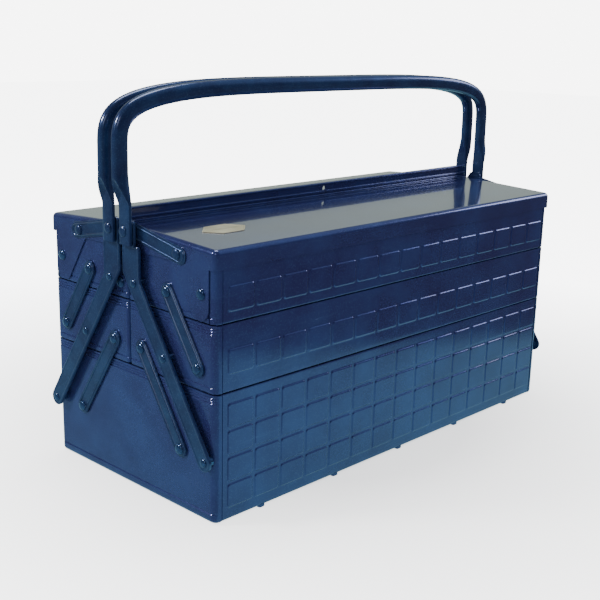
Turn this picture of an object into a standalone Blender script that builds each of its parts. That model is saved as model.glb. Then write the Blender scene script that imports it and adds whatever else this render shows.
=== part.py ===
"""Cantilever tool chest in pressed sheet steel.

A tub carries two middle trays and two lidded top trays. Each side's trays hang on riveted arms and
links and travel outwards when the two bail handles part. +X runs along the chest, the front faces -Y,
+Z is up, and the origin is on the resting plane under the middle of the tub. Units are metres.
"""

import math

import bmesh
import bpy
from mathutils import Matrix

# Driving dimensions
LENGTH = 0.4695
DEPTH = 0.218
HANDLE_TOP = 0.3454
SHEET = 0.0008
RIB_DROP = 0.0015
TUB_TOP = 0.1103
MIDDLE_TRAY = (0.1109, 0.1663)
TOP_TRAY = (0.1669, 0.2190)
GAP = 0.0003

WALL_X = LENGTH / 2
WALL_Y = DEPTH / 2
INNER_WALL_Y = 0.0005
CORNER = 0.0065
SMALL_CORNER = 0.003
CORNER_SEGMENTS = 3
BOTTOM_RADIUS = 0.0024
BOTTOM_SEGMENTS = 2
HOLE_STEPS = 16
CUTTER_OVERRUN = 0.01

# Runner ribs under the tub
RIB_PITCH = 0.091
RIB_COUNT = 5
RIB_WIDTH = 0.007
RIB_LENGTH = 0.2168

# Lids
LID_PROUD = 0.00125
LID_SHEET = 0.0009
LID_SKIRT_BOTTOM = 0.2098
LID_EDGE_TOP = 0.2253
LID_INNER_TOP = 0.2310
LID_TOP_RADIUS = 0.003
FLANGE_TOP = 0.2442
FLANGE_HALF_LENGTH = WALL_X - 0.002
FLANGE_PROUD = 0.0002
FLANGE_ROOT = 0.0006
PADLOCK_HOLE_RADIUS = 0.0028
PADLOCK_HOLE_Z = 0.2383
EAR_OUTER = 0.1020
EAR_BOTTOM = 0.1683
EAR_TOP = LID_SKIRT_BOTTOM + 0.004
EAR_INNER_AT_TOP = 0.0580
EAR_INNER_AT_SKIRT = 0.0600
EAR_FOOT = 0.0888
EAR_OUTER_RADIUS = 0.0100
EAR_INNER_RADIUS = 0.0060
EAR_SLANT = math.radians(-148)
EAR_INSET = 0.00015

# Pivots as (distance from the middle plane, height)
ARM_ON_TUB = (0.1025, 0.0555)
ARM_ON_MIDDLE = (0.0530, 0.1295)
ARM_ON_TOP = (0.0162, 0.1845)
LOWER_ON_TUB = (0.0680, 0.0555)
LOWER_ON_MIDDLE = (0.0185, 0.1295)
UPPER_ON_MIDDLE = (0.0895, 0.1290)
UPPER_ON_TOP = (0.0527, 0.1840)
LID_PIVOT = (0.0935, 0.1895)
STRAP_ON_HANDLE = (0.0100, 0.2270)
STRAP_ON_LID = (0.0655, 0.2162)
STUD = (0.0098, 0.1800)

# Layers, measured outwards from an end wall
LINK_LAYER = (0.0005, 0.0030)
STRAP_LAYER = (0.0018, 0.0032)
ARM_LAYER = (0.0036, 0.0072)
LEG_LAYER = (0.0075, 0.0117)
BAR_LAYER = (0.0054, 0.0198)

# Arms, links and straps
ARM_HALF_WIDTH = 0.0075
ARM_HEAD_INNER = 0.0020
ARM_HEAD_OUTER = 0.0240
ARM_SHOULDER_Z = 0.2155
TONGUE_INNER = 0.0030
TONGUE_OUTER = 0.0180
TONGUE_TOP = 0.2360
TONGUE_CORNER = 0.004
LINK_HALF_WIDTH = 0.0070
STRAP_HALF_WIDTH = 0.0070
STRAP_OVERRUN = 0.0040
STRAP_INNER_OVERRUN = 0.0010

# Rivets
SHANK_RADIUS = 0.0025
HOLE_RADIUS = 0.00275
HEAD_RADIUS = 0.0045
HEAD_HEIGHT = 0.0019
LOW_HEAD_HEIGHT = 0.0014
DOME_SHOULDER = (0.62, 0.78)
SHOP_HEAD_RADIUS = 0.0032
SHOP_HEAD_HEIGHT = 0.0009
SHOP_HEAD_TAPER = 0.8
HANDLE_PIN_SINK = 0.0001
CLINCH_GAP = 0.0009
RIVET_STEPS = 10
ARC_STEPS = 8

# Bail handles: a flattened leg grows into an oval bar
LEG_BOTTOM = 0.2158
LEG_FLAT_TOP = 0.2500
LEG_ROUND_FROM = 0.2720
LEG_CENTRE_Y = 0.0112
LEG_HALF_WIDTH = 0.0072
LEG_MID_HALF_WIDTH = 0.0064
BAR_CENTRE_Y = 0.0092
BAR_HALF_WIDTH = 0.0051
BAIL_BEND_FROM = 0.2850
BAIL_SQUARENESS = 4.35
BAIL_CORNER_STEPS = 12
SECTION_POINTS = 12
SECTION_ROUNDNESS = 0.7

# Blank plate on the front lid
PLATE_CENTRE = (-0.1805, -0.0575)
PLATE_LENGTH = 0.046
PLATE_DEPTH = 0.025
PLATE_CHAMFER = 0.0118
PLATE_THICKNESS = 0.0006

SIDES = {"front": -1, "back": 1}
ENDS = {"left": -1, "right": 1}


def clear_scene():
    for obj in list(bpy.data.objects):
        bpy.data.objects.remove(obj, do_unlink=True)


def new_collection(name):
    collection = bpy.data.collections.new(name)
    bpy.context.scene.collection.children.link(collection)
    return collection


def paint(name, colour, roughness, metallic):
    material = bpy.data.materials.new(name)
    material.use_nodes = True
    shader = material.node_tree.nodes["Principled BSDF"]
    shader.inputs["Base Color"].default_value = (*colour, 1)
    shader.inputs["Roughness"].default_value = roughness
    shader.inputs["Metallic"].default_value = metallic
    return material


clear_scene()
PARTS = new_collection("cantilever_toolbox")
HELPERS = new_collection("cutters")
ENAMEL = paint("blue_enamel", (0.020, 0.040, 0.130), 0.25, 0.3)
RIVET_ENAMEL = paint("rivet_enamel", (0.025, 0.055, 0.170), 0.2, 0.4)
PLATE_METAL = paint("plate_metal", (0.62, 0.58, 0.42), 0.35, 0.6)


def add(name, mesh, material, collection=PARTS):
    obj = bpy.data.objects.new(name, mesh)
    mesh.materials.append(material)
    collection.objects.link(obj)
    return obj


def helper(name, mesh):
    obj = bpy.data.objects.new(name, mesh)
    HELPERS.objects.link(obj)
    obj.hide_render = True
    obj.display_type = "WIRE"
    return obj


def mesh_from(bm, name):
    mesh = bpy.data.meshes.new(name)
    bm.to_mesh(mesh)
    bm.free()
    return mesh


def box_into(bm, low, high):
    """A cuboid from its lowest to its highest corner. Returns its vertices."""
    size = [top - bottom for bottom, top in zip(low, high)]
    centre = [(top + bottom) / 2 for bottom, top in zip(low, high)]
    matrix = Matrix.Translation(centre) @ Matrix.Diagonal((*size, 1))
    return bmesh.ops.create_cube(bm, size=1, matrix=matrix)["verts"]


def at(value, target):
    return abs(value - target) < 1e-6


def faces_where(bm, axis, value):
    return [face for face in bm.faces if all(at(v.co[axis], value) for v in face.verts)]


def edges_where(bm, test):
    return [edge for edge in bm.edges if all(test(v.co) for v in edge.verts)]


def round_edges(bm, edges, radius, segments):
    bmesh.ops.bevel(bm, geom=edges, offset=radius, segments=segments, profile=0.5, affect="EDGES")


def solidify(obj, thickness):
    modifier = obj.modifiers.new("sheet", "SOLIDIFY")
    modifier.thickness = thickness
    modifier.offset = -1
    modifier.use_even_offset = True


def boolean(obj, other, operation):
    modifier = obj.modifiers.new(operation.lower(), "BOOLEAN")
    modifier.operation = operation
    modifier.object = other
    modifier.solver = "EXACT"


def pivot_cutter(name, pivots):
    """Long cylinders along X, one through both end walls at each (y, z)."""
    bm = bmesh.new()
    for y, z in pivots:
        along_x = Matrix.Rotation(math.pi / 2, 4, "Y")
        bmesh.ops.create_cone(
            bm,
            cap_ends=True,
            segments=HOLE_STEPS,
            radius1=HOLE_RADIUS,
            radius2=HOLE_RADIUS,
            depth=LENGTH + 2 * CUTTER_OVERRUN,
            matrix=Matrix.Translation((0, y, z)) @ along_x,
        )
    return helper(name, mesh_from(bm, name))


def open_box(name, y_range, z_range, outer_walls):
    """A tray open at the top. outer_walls lists the y of each wall with large corners."""
    bm = bmesh.new()
    box_into(bm, (-WALL_X, y_range[0], z_range[0]), (WALL_X, y_range[1], z_range[1]))
    bmesh.ops.delete(bm, geom=faces_where(bm, 2, z_range[1]), context="FACES_ONLY")
    for y in y_range:
        radius = CORNER if y in outer_walls else SMALL_CORNER
        for x in (-WALL_X, WALL_X):
            corner = edges_where(bm, lambda co, x=x, y=y: at(co.x, x) and at(co.y, y))
            round_edges(bm, corner, radius, CORNER_SEGMENTS)
    bottom = edges_where(bm, lambda co: at(co.z, z_range[0]))
    rim = [edge for edge in bottom if len(edge.link_faces) == 2]
    rim = [edge for edge in rim if any(abs(face.normal.z) < 0.5 for face in edge.link_faces)]
    round_edges(bm, rim, BOTTOM_RADIUS, BOTTOM_SEGMENTS)
    bmesh.ops.recalc_face_normals(bm, faces=bm.faces)
    obj = add(name, mesh_from(bm, name), ENAMEL)
    solidify(obj, SHEET)
    return obj


def make_tub():
    floor = RIB_DROP
    tub = open_box("tub", (-WALL_Y, WALL_Y), (floor, TUB_TOP), (-WALL_Y, WALL_Y))
    bm = bmesh.new()
    for number in range(RIB_COUNT):
        x = (number - (RIB_COUNT - 1) / 2) * RIB_PITCH
        low = (x - RIB_WIDTH / 2, -RIB_LENGTH / 2, 0)
        high = (x + RIB_WIDTH / 2, RIB_LENGTH / 2, floor + SHEET / 2)
        box_into(bm, low, high)
    boolean(tub, helper("runner_ribs", mesh_from(bm, "runner_ribs")), "UNION")
    pivots = [(sign * out, z) for sign in SIDES.values() for out, z in (ARM_ON_TUB, LOWER_ON_TUB)]
    boolean(tub, pivot_cutter("tub_holes", pivots), "DIFFERENCE")


def make_tray(name, sign, z_range, pivots):
    y_range = sorted((sign * WALL_Y, sign * INNER_WALL_Y))
    tray = open_box(name, tuple(y_range), z_range, (sign * WALL_Y,))
    boolean(tray, pivot_cutter(f"{name}_holes", [(sign * out, z) for out, z in pivots]), "DIFFERENCE")


def arc(centre, radius, start, end, steps=ARC_STEPS):
    """Points on an arc, angles in radians."""
    points = []
    for number in range(steps + 1):
        angle = start + (end - start) * number / steps
        points.append((centre[0] + radius * math.cos(angle), centre[1] + radius * math.sin(angle)))
    return points


def circle(centre, radius):
    last = HOLE_STEPS - 1
    return arc(centre, radius, 0, 2 * math.pi * last / HOLE_STEPS, last)


def plate_mesh(name, outlines, layer, sign, end, origin):
    """A flat plate parallel to an end wall, cut from (out, height) outlines: the first is its edge."""
    curve = bpy.data.curves.new(name, "CURVE")
    curve.dimensions = "2D"
    curve.fill_mode = "BOTH"
    curve.extrude = (layer[1] - layer[0]) / 2
    for outline in outlines:
        spline = curve.splines.new("POLY")
        spline.points.add(len(outline) - 1)
        spline.use_cyclic_u = True
        for point, (out, z) in zip(spline.points, outline):
            point.co = (sign * (out - origin[0]), z - origin[1], 0, 1)
    x = end * (WALL_X + (layer[0] + layer[1]) / 2)
    # The curve's own x, y and z become the chest's Y, Z and X.
    facing = Matrix(((0, 0, 1, 0), (1, 0, 0, 0), (0, 1, 0, 0), (0, 0, 0, 1)))
    return curve, Matrix.Translation((x, sign * origin[0], origin[1])) @ facing


def add_plate(name, outlines, layer, sign, end, origin):
    curve, matrix = plate_mesh(name, outlines, layer, sign, end, origin)
    obj = add(name, curve, ENAMEL)
    obj.matrix_world = matrix
    return obj


def plate_as_mesh(name, outlines, layer, sign, end, origin):
    """The same plate as a mesh that a Boolean can use."""
    curve, matrix = plate_mesh(name, outlines, layer, sign, end, origin)
    flat = bpy.data.objects.new(f"{name}_curve", curve)
    HELPERS.objects.link(flat)
    flat.matrix_world = matrix
    bpy.context.view_layer.update()
    graph = bpy.context.evaluated_depsgraph_get()
    mesh = bpy.data.meshes.new_from_object(flat.evaluated_get(graph))
    bpy.data.objects.remove(flat, do_unlink=True)
    bm = bmesh.new()
    bm.from_mesh(mesh)
    bmesh.ops.remove_doubles(bm, verts=bm.verts, dist=1e-6)
    bmesh.ops.recalc_face_normals(bm, faces=bm.faces)
    bm.to_mesh(mesh)
    bm.free()
    return mesh, matrix


def stadium(start, end, half_width, start_overrun=0.0, end_overrun=0.0):
    """A strip with round ends about two points, each end moved outwards by its overrun."""
    angle = math.atan2(end[1] - start[1], end[0] - start[0])
    along = (math.cos(angle), math.sin(angle))
    first = tuple(start[i] - along[i] * start_overrun for i in (0, 1))
    last = tuple(end[i] + along[i] * end_overrun for i in (0, 1))
    quarter = math.pi / 2
    outline = arc(last, half_width, angle - quarter, angle + quarter)
    return outline + arc(first, half_width, angle + quarter, angle + 3 * quarter)


def make_link(name, low, high, sign, end):
    outlines = [stadium(low, high, LINK_HALF_WIDTH), circle(low, HOLE_RADIUS), circle(high, HOLE_RADIUS)]
    add_plate(name, outlines, LINK_LAYER, sign, end, low)


def make_strap(name, sign, end):
    """A strap with its lid rivet fixed in it. The rivet ends short of the lid's skirt."""
    outline = stadium(
        STRAP_ON_HANDLE, STRAP_ON_LID, STRAP_HALF_WIDTH, STRAP_INNER_OVERRUN, STRAP_OVERRUN
    )
    outlines = [outline, circle(STRAP_ON_HANDLE, HOLE_RADIUS)]
    mesh, matrix = plate_as_mesh(name, outlines, STRAP_LAYER, sign, end, STRAP_ON_HANDLE)
    strap = add(name, mesh, ENAMEL)
    strap.matrix_world = matrix
    head = turned(f"{name}_rivet", headed_pin(LID_PROUD + GAP, STRAP_LAYER[1], LOW_HEAD_HEIGHT))
    boolean(strap, place_turned(head, sign, end, STRAP_ON_LID, HELPERS), "UNION")


def arm_outline():
    """Round foot, straight slanting bar, upright head and a narrower tongue behind the handle leg."""
    slant = math.atan2(ARM_ON_TOP[1] - ARM_ON_TUB[1], ARM_ON_TOP[0] - ARM_ON_TUB[0])
    quarter = math.pi / 2
    foot = arc(ARM_ON_TUB, ARM_HALF_WIDTH, slant + quarter, slant + 3 * quarter)
    along = (math.cos(slant), math.sin(slant))

    def edge_height(offset, out):
        """Height at which the bar's edge, offset from its centre line, reaches this distance out."""
        start = (ARM_ON_TUB[0] - offset * along[1], ARM_ON_TUB[1] + offset * along[0])
        return start[1] + (out - start[0]) * along[1] / along[0]

    inner_bend = (ARM_HEAD_INNER, edge_height(ARM_HALF_WIDTH, ARM_HEAD_INNER))
    outer_bend = (ARM_HEAD_OUTER, edge_height(-ARM_HALF_WIDTH, ARM_HEAD_OUTER))
    top = TONGUE_TOP - TONGUE_CORNER
    tongue = arc((TONGUE_OUTER - TONGUE_CORNER, top), TONGUE_CORNER, 0, quarter, CORNER_SEGMENTS)
    tongue += arc((TONGUE_INNER + TONGUE_CORNER, top), TONGUE_CORNER, quarter, math.pi, CORNER_SEGMENTS)
    head = [outer_bend, (ARM_HEAD_OUTER, ARM_SHOULDER_Z), (TONGUE_OUTER, ARM_SHOULDER_Z)]
    foot_side = [(TONGUE_INNER, ARM_SHOULDER_Z), (ARM_HEAD_INNER, ARM_SHOULDER_Z), inner_bend]
    # The foot runs from the bar's inner edge round to its outer edge.
    return foot + head + tongue + foot_side


def make_arm(name, sign, end):
    outlines = [arm_outline()]
    for pivot in (ARM_ON_TUB, ARM_ON_MIDDLE, ARM_ON_TOP, STRAP_ON_HANDLE):
        outlines.append(circle(pivot, HOLE_RADIUS))
    add_plate(name, outlines, ARM_LAYER, sign, end, ARM_ON_TUB)


def headed_pin(inner, face, head_height=HEAD_HEIGHT):
    """Profile of a domed pin, top to bottom, from its inner end to the face its head bears on."""
    under = face + (GAP if inner < 0 else 0)
    shoulder = (HEAD_RADIUS * DOME_SHOULDER[0], under + head_height * DOME_SHOULDER[1])
    profile = [(0, under + head_height), shoulder]
    profile += [(HEAD_RADIUS, under), (SHANK_RADIUS, under)]
    if inner < 0:
        clinch = -SHEET - CLINCH_GAP
        profile += [(SHANK_RADIUS, clinch), (SHOP_HEAD_RADIUS, clinch)]
        profile += [(SHOP_HEAD_RADIUS * SHOP_HEAD_TAPER, inner)]
    else:
        profile += [(SHANK_RADIUS, inner)]
    return profile + [(0, inner)]


def turned(name, profile):
    """A profile of (radius, height) pairs as a mesh for a Screw modifier."""
    bm = bmesh.new()
    vertices = [bm.verts.new((radius, 0, height)) for radius, height in profile]
    for first, second in zip(vertices, vertices[1:]):
        bm.edges.new((first, second))
    return mesh_from(bm, name)


def screw(obj):
    modifier = obj.modifiers.new("turn", "SCREW")
    modifier.steps = RIVET_STEPS
    modifier.render_steps = RIVET_STEPS
    modifier.use_merge_vertices = True
    modifier.merge_threshold = 0.00001
    modifier.use_smooth_shade = True


def place_turned(mesh, sign, end, pivot, collection, name=None):
    """Stands a turned pin on an end wall, its axis along X and its head outwards."""
    obj = bpy.data.objects.new(name or mesh.name, mesh)
    collection.objects.link(obj)
    if collection is HELPERS:
        obj.hide_render = True
        obj.display_type = "WIRE"
    screw(obj)
    outwards = Matrix.Rotation(end * math.pi / 2, 4, "Y")
    obj.matrix_world = Matrix.Translation((end * WALL_X, sign * pivot[0], pivot[1])) @ outwards
    return obj


RIVET_INNER = -SHEET - CLINCH_GAP - SHOP_HEAD_HEIGHT
ARM_RIVET = turned("arm_rivet", headed_pin(RIVET_INNER, ARM_LAYER[1]))
LINK_RIVET = turned("link_rivet", headed_pin(RIVET_INNER, LINK_LAYER[1]))
EAR_RIVET = turned("ear_rivet", headed_pin(RIVET_INNER, LID_PROUD))
STUD_PIN = turned("stud_pin", headed_pin(RIVET_INNER, 0))
for rivet in (ARM_RIVET, LINK_RIVET, EAR_RIVET, STUD_PIN):
    rivet.materials.append(RIVET_ENAMEL)


def bail_section(centre, half_normal, half_width, turn):
    """Twelve points of a rounded section across the bail's path, whose normal is turned from +X."""
    normal = (math.cos(turn), math.sin(turn))
    points = []
    for number in range(SECTION_POINTS):
        angle = 2 * math.pi * (number + 0.5) / SECTION_POINTS
        across = math.copysign(abs(math.cos(angle)) ** SECTION_ROUNDNESS, math.cos(angle)) * half_normal
        wide = math.copysign(abs(math.sin(angle)) ** SECTION_ROUNDNESS, math.sin(angle)) * half_width
        points.append((centre[0] + normal[0] * across, centre[1] + wide, centre[2] + normal[1] * across))
    return points


def bail_stations(sign):
    """(centre, half thickness, half width, turn) along the bail from the left foot to the right foot."""
    leg_x, bar_x = (WALL_X + (layer[0] + layer[1]) / 2 for layer in (LEG_LAYER, BAR_LAYER))
    flat, round_half = ((layer[1] - layer[0]) / 2 for layer in (LEG_LAYER, BAR_LAYER))
    leg_y, bar_y = sign * LEG_CENTRE_Y, sign * BAR_CENTRE_Y
    rise = HANDLE_TOP - round_half - BAIL_BEND_FROM
    middle = ((leg_x + bar_x) / 2, (leg_y + bar_y) / 2, (LEG_FLAT_TOP + LEG_ROUND_FROM) / 2)
    right = [
        ((leg_x, leg_y, LEG_BOTTOM), flat, LEG_HALF_WIDTH, 0),
        ((leg_x, leg_y, LEG_FLAT_TOP), flat, LEG_HALF_WIDTH, 0),
        (middle, (flat + round_half) / 2, LEG_MID_HALF_WIDTH, 0),
        ((bar_x, bar_y, LEG_ROUND_FROM), round_half, BAR_HALF_WIDTH, 0),
    ]
    for number in range(BAIL_CORNER_STEPS + 1):
        angle = math.pi / 2 * number / BAIL_CORNER_STEPS
        across = abs(math.cos(angle)) ** (2 / BAIL_SQUARENESS)
        up = math.sin(angle) ** (2 / BAIL_SQUARENESS)
        lean = across ** (BAIL_SQUARENESS - 1) / bar_x
        climb = up ** (BAIL_SQUARENESS - 1) / rise
        centre = (bar_x * across, bar_y, BAIL_BEND_FROM + rise * up)
        right.append((centre, round_half, BAR_HALF_WIDTH, math.atan2(climb, lean)))
    left = [((-c[0], c[1], c[2]), thick, wide, math.pi - turn) for c, thick, wide, turn in reversed(right[:-1])]
    return right + left


def make_handle(name, sign):
    """A lofted bail, with the rivet that fixes each leg to its arm and carries the strap."""
    bm = bmesh.new()
    rings = []
    for station in bail_stations(sign):
        rings.append([bm.verts.new(point) for point in bail_section(*station)])
    for lower, upper in zip(rings, rings[1:]):
        for number in range(SECTION_POINTS):
            after = (number + 1) % SECTION_POINTS
            bm.faces.new((lower[number], lower[after], upper[after], upper[number]))
    bm.faces.new(rings[0])
    bm.faces.new(rings[-1])
    bmesh.ops.recalc_face_normals(bm, faces=bm.faces)
    mesh = mesh_from(bm, name)
    pivot = (sign * ARM_ON_TUB[0], ARM_ON_TUB[1])
    mesh.transform(Matrix.Translation((0, -pivot[0], -pivot[1])))
    mesh.shade_smooth()
    handle = add(name, mesh, ENAMEL)
    handle.location = (0, *pivot)
    pin = turned(f"{name}_pin", headed_pin(STRAP_LAYER[0], LEG_LAYER[1] - HANDLE_PIN_SINK))
    for end in ENDS.values():
        boolean(handle, place_turned(pin, sign, end, STRAP_ON_HANDLE, HELPERS), "UNION")


def ear_outline():
    """The lid's hinge ear: an upright outer edge, a round foot and a slanting inner edge."""
    down = -math.pi / 2
    inner_foot = (EAR_FOOT, EAR_BOTTOM + EAR_INNER_RADIUS)
    outer_foot = (EAR_OUTER - EAR_OUTER_RADIUS, EAR_BOTTOM + EAR_OUTER_RADIUS)
    outline = [(EAR_INNER_AT_TOP, EAR_TOP), (EAR_INNER_AT_SKIRT, LID_SKIRT_BOTTOM)]
    outline += arc(inner_foot, EAR_INNER_RADIUS, EAR_SLANT, down, CORNER_SEGMENTS)
    outline += arc(outer_foot, EAR_OUTER_RADIUS, down, 0, CORNER_SEGMENTS + 1)
    return outline + [(EAR_OUTER, EAR_TOP)]


def make_lid(name, sign):
    """A sloping cap with skirts on three sides, two hinge ears and an upstanding inner flange."""
    outer_y, inner_y = sign * (WALL_Y + LID_PROUD), sign * INNER_WALL_Y
    half = WALL_X + LID_PROUD
    y_low, y_high = sorted((outer_y, inner_y))
    bm = bmesh.new()
    corners = box_into(bm, (-half, y_low, LID_SKIRT_BOTTOM), (half, y_high, LID_EDGE_TOP))
    bmesh.ops.delete(
        bm,
        geom=faces_where(bm, 2, LID_SKIRT_BOTTOM) + faces_where(bm, 1, inner_y),
        context="FACES_ONLY",
    )
    for vertex in corners:
        if at(vertex.co.y, inner_y) and at(vertex.co.z, LID_EDGE_TOP):
            vertex.co.z = LID_INNER_TOP
    for x in (-half, half):
        corner = edges_where(bm, lambda co, x=x: at(co.x, x) and at(co.y, outer_y))
        round_edges(bm, corner, CORNER, CORNER_SEGMENTS)
    bm.normal_update()
    brow = [e for e in bm.edges if len(e.link_faces) == 2 and is_brow(e)]
    round_edges(bm, brow, LID_TOP_RADIUS, BOTTOM_SEGMENTS)
    bmesh.ops.recalc_face_normals(bm, faces=bm.faces)
    mesh = mesh_from(bm, name)
    mesh.transform(Matrix.Translation((0, -sign * LID_PIVOT[0], -LID_PIVOT[1])))
    lid = add(name, mesh, ENAMEL)
    lid.location = (0, sign * LID_PIVOT[0], LID_PIVOT[1])
    solidify(lid, LID_SHEET)
    ear_layer = (LID_PROUD - LID_SHEET + EAR_INSET, LID_PROUD - EAR_INSET)
    for end_name, end in ENDS.items():
        ear_name = f"{name}_{end_name}_ear"
        outlines = [ear_outline(), circle(LID_PIVOT, HOLE_RADIUS)]
        ear, matrix = plate_as_mesh(ear_name, outlines, ear_layer, sign, end, LID_PIVOT)
        joined = helper(ear_name, ear)
        joined.matrix_world = matrix
        boolean(lid, joined, "UNION")
    bm = bmesh.new()
    flange_y = inner_y - sign * FLANGE_PROUD
    flange = sorted((flange_y, flange_y + sign * LID_SHEET))
    box_into(
        bm,
        (-FLANGE_HALF_LENGTH, flange[0], LID_INNER_TOP - FLANGE_ROOT),
        (FLANGE_HALF_LENGTH, flange[1], FLANGE_TOP),
    )
    boolean(lid, helper(f"{name}_flange", mesh_from(bm, f"{name}_flange")), "UNION")
    boolean(lid, PADLOCK_CUTTER, "DIFFERENCE")


def is_brow(edge):
    """True for an edge between the sloping top and a skirt."""
    tilts = [abs(face.normal.z) for face in edge.link_faces]
    return max(tilts) > 0.9 and min(tilts) < 0.1


def padlock_cutter():
    bm = bmesh.new()
    bmesh.ops.create_cone(
        bm,
        cap_ends=True,
        segments=HOLE_STEPS,
        radius1=PADLOCK_HOLE_RADIUS,
        radius2=PADLOCK_HOLE_RADIUS,
        depth=2 * CUTTER_OVERRUN,
        matrix=Matrix.Translation((0, 0, PADLOCK_HOLE_Z)) @ Matrix.Rotation(math.pi / 2, 4, "X"),
    )
    return helper("padlock_hole", mesh_from(bm, "padlock_hole"))


def make_plate():
    """The blank plate: an oblong with cut corners that lies along the front lid's slope."""
    slope = math.atan2(LID_INNER_TOP - LID_EDGE_TOP, WALL_Y + LID_PROUD - INNER_WALL_Y)
    curve = bpy.data.curves.new("blank_plate", "CURVE")
    curve.dimensions = "2D"
    curve.fill_mode = "BOTH"
    curve.extrude = PLATE_THICKNESS / 2
    long, deep, cut = PLATE_LENGTH / 2, PLATE_DEPTH / 2, PLATE_CHAMFER
    quarter = [(long, deep - cut), (long - cut, deep)]
    outline = quarter + [(-x, y) for x, y in reversed(quarter)]
    outline += [(-x, -y) for x, y in quarter] + [(x, -y) for x, y in reversed(quarter)]
    spline = curve.splines.new("POLY")
    spline.points.add(len(outline) - 1)
    spline.use_cyclic_u = True
    for point, (x, y) in zip(spline.points, outline):
        point.co = (x, y, 0, 1)
    plate = add("blank_plate", curve, PLATE_METAL)
    along_slope = WALL_Y + LID_PROUD + PLATE_CENTRE[1]
    lift = (GAP + PLATE_THICKNESS / 2) / math.cos(slope)
    plate.location = (*PLATE_CENTRE, LID_EDGE_TOP + along_slope * math.tan(slope) + lift)
    plate.rotation_euler = (slope, 0, 0)


PADLOCK_CUTTER = padlock_cutter()
make_tub()
for side, sign in SIDES.items():
    make_tray(f"{side}_middle_tray", sign, MIDDLE_TRAY, (ARM_ON_MIDDLE, LOWER_ON_MIDDLE, UPPER_ON_MIDDLE))
    top_pivots = [ARM_ON_TOP, UPPER_ON_TOP, LID_PIVOT]
    if side == "back":
        top_pivots.append(STUD)
    make_tray(f"{side}_top_tray", sign, TOP_TRAY, top_pivots)
    make_lid(f"{side}_lid", sign)
    make_handle(f"{side}_handle", sign)
    for end_name, end in ENDS.items():
        where = f"{side}_{end_name}"
        make_arm(f"{where}_arm", sign, end)
        make_link(f"{where}_lower_link", LOWER_ON_TUB, LOWER_ON_MIDDLE, sign, end)
        make_link(f"{where}_upper_link", UPPER_ON_MIDDLE, UPPER_ON_TOP, sign, end)
        make_strap(f"{where}_strap", sign, end)
        rivets = (
            ("arm_tub_rivet", ARM_RIVET, ARM_ON_TUB),
            ("arm_middle_rivet", ARM_RIVET, ARM_ON_MIDDLE),
            ("arm_top_rivet", ARM_RIVET, ARM_ON_TOP),
            ("lower_link_tub_rivet", LINK_RIVET, LOWER_ON_TUB),
            ("lower_link_middle_rivet", LINK_RIVET, LOWER_ON_MIDDLE),
            ("upper_link_middle_rivet", LINK_RIVET, UPPER_ON_MIDDLE),
            ("upper_link_top_rivet", LINK_RIVET, UPPER_ON_TOP),
            ("lid_hinge_rivet", EAR_RIVET, LID_PIVOT),
        )
        for rivet_name, mesh, pivot in rivets:
            place_turned(mesh, sign, end, pivot, PARTS, f"{where}_{rivet_name}")
place_turned(STUD_PIN, 1, -1, STUD, PARTS, "back_left_stud")
make_plate()
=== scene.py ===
"""Looks for a cantilever tool chest in pressed sheet steel under glossy blue enamel.

A tub, two middle trays and two lidded top trays are folded from sheet, their long faces pressed into
rows of raised cells. Channel arms, ribbed links and straps join them at each end, and two bail handles
stand over the lids. Lengths are metres, +X runs along the chest, the front faces -Y and +Z is up.
"""

import math

import bmesh
import bpy
from mathutils import Matrix, Vector


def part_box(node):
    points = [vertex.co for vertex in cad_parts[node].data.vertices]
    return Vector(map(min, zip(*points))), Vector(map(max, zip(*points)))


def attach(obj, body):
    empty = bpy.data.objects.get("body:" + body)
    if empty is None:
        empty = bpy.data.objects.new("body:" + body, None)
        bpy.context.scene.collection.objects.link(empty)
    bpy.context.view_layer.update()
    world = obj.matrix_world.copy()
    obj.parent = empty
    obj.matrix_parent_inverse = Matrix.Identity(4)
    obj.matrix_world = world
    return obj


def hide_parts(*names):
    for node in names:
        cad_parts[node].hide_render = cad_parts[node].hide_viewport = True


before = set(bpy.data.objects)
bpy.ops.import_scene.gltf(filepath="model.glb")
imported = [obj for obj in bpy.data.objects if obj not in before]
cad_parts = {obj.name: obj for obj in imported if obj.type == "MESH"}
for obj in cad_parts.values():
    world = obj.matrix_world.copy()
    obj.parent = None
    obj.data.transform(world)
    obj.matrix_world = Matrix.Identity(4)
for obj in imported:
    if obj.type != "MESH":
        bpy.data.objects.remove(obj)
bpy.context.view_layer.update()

SIDES = {"front": -1, "back": 1}
ENDS = {"left": -1, "right": 1}

# Walls, read from the frame
TRAY_LOW, TRAY_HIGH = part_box("front_middle_tray")
LID_LOW, LID_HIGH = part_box("front_lid")
WALL_X = TRAY_HIGH.x
WALL_Y = -TRAY_LOW.y
CAD_FLANGE_TOP = LID_HIGH.z
EAR_BOTTOM = LID_LOW.z
CAD_LID_PROUD = LID_HIGH.x - WALL_X

# Sheet metal
SHEET = 0.0008
CORNER = 0.0065
SMALL_CORNER = 0.003
CORNER_STEPS = 5
TUB_BOTTOM_RADIUS = 0.0032
TRAY_BOTTOM_RADIUS = 0.0014
BOTTOM_STEPS = 4
LAP_FROM_END = 0.0069
LAP_GROOVE = ((0.0, 0.0), (0.0004, 0.0012), (0.0008, 0.0012), (0.0012, 0.0005))
LAP_DEPTH = LAP_GROOVE[-1][1]
EAR_GAP = ((0.1012, 0.0), (0.1014, 0.0009), (0.1024, 0.0009))
HEM_DEPTH = 0.0070
HEM_FOLD = 0.0017
RIM_EASE = 0.0004

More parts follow.
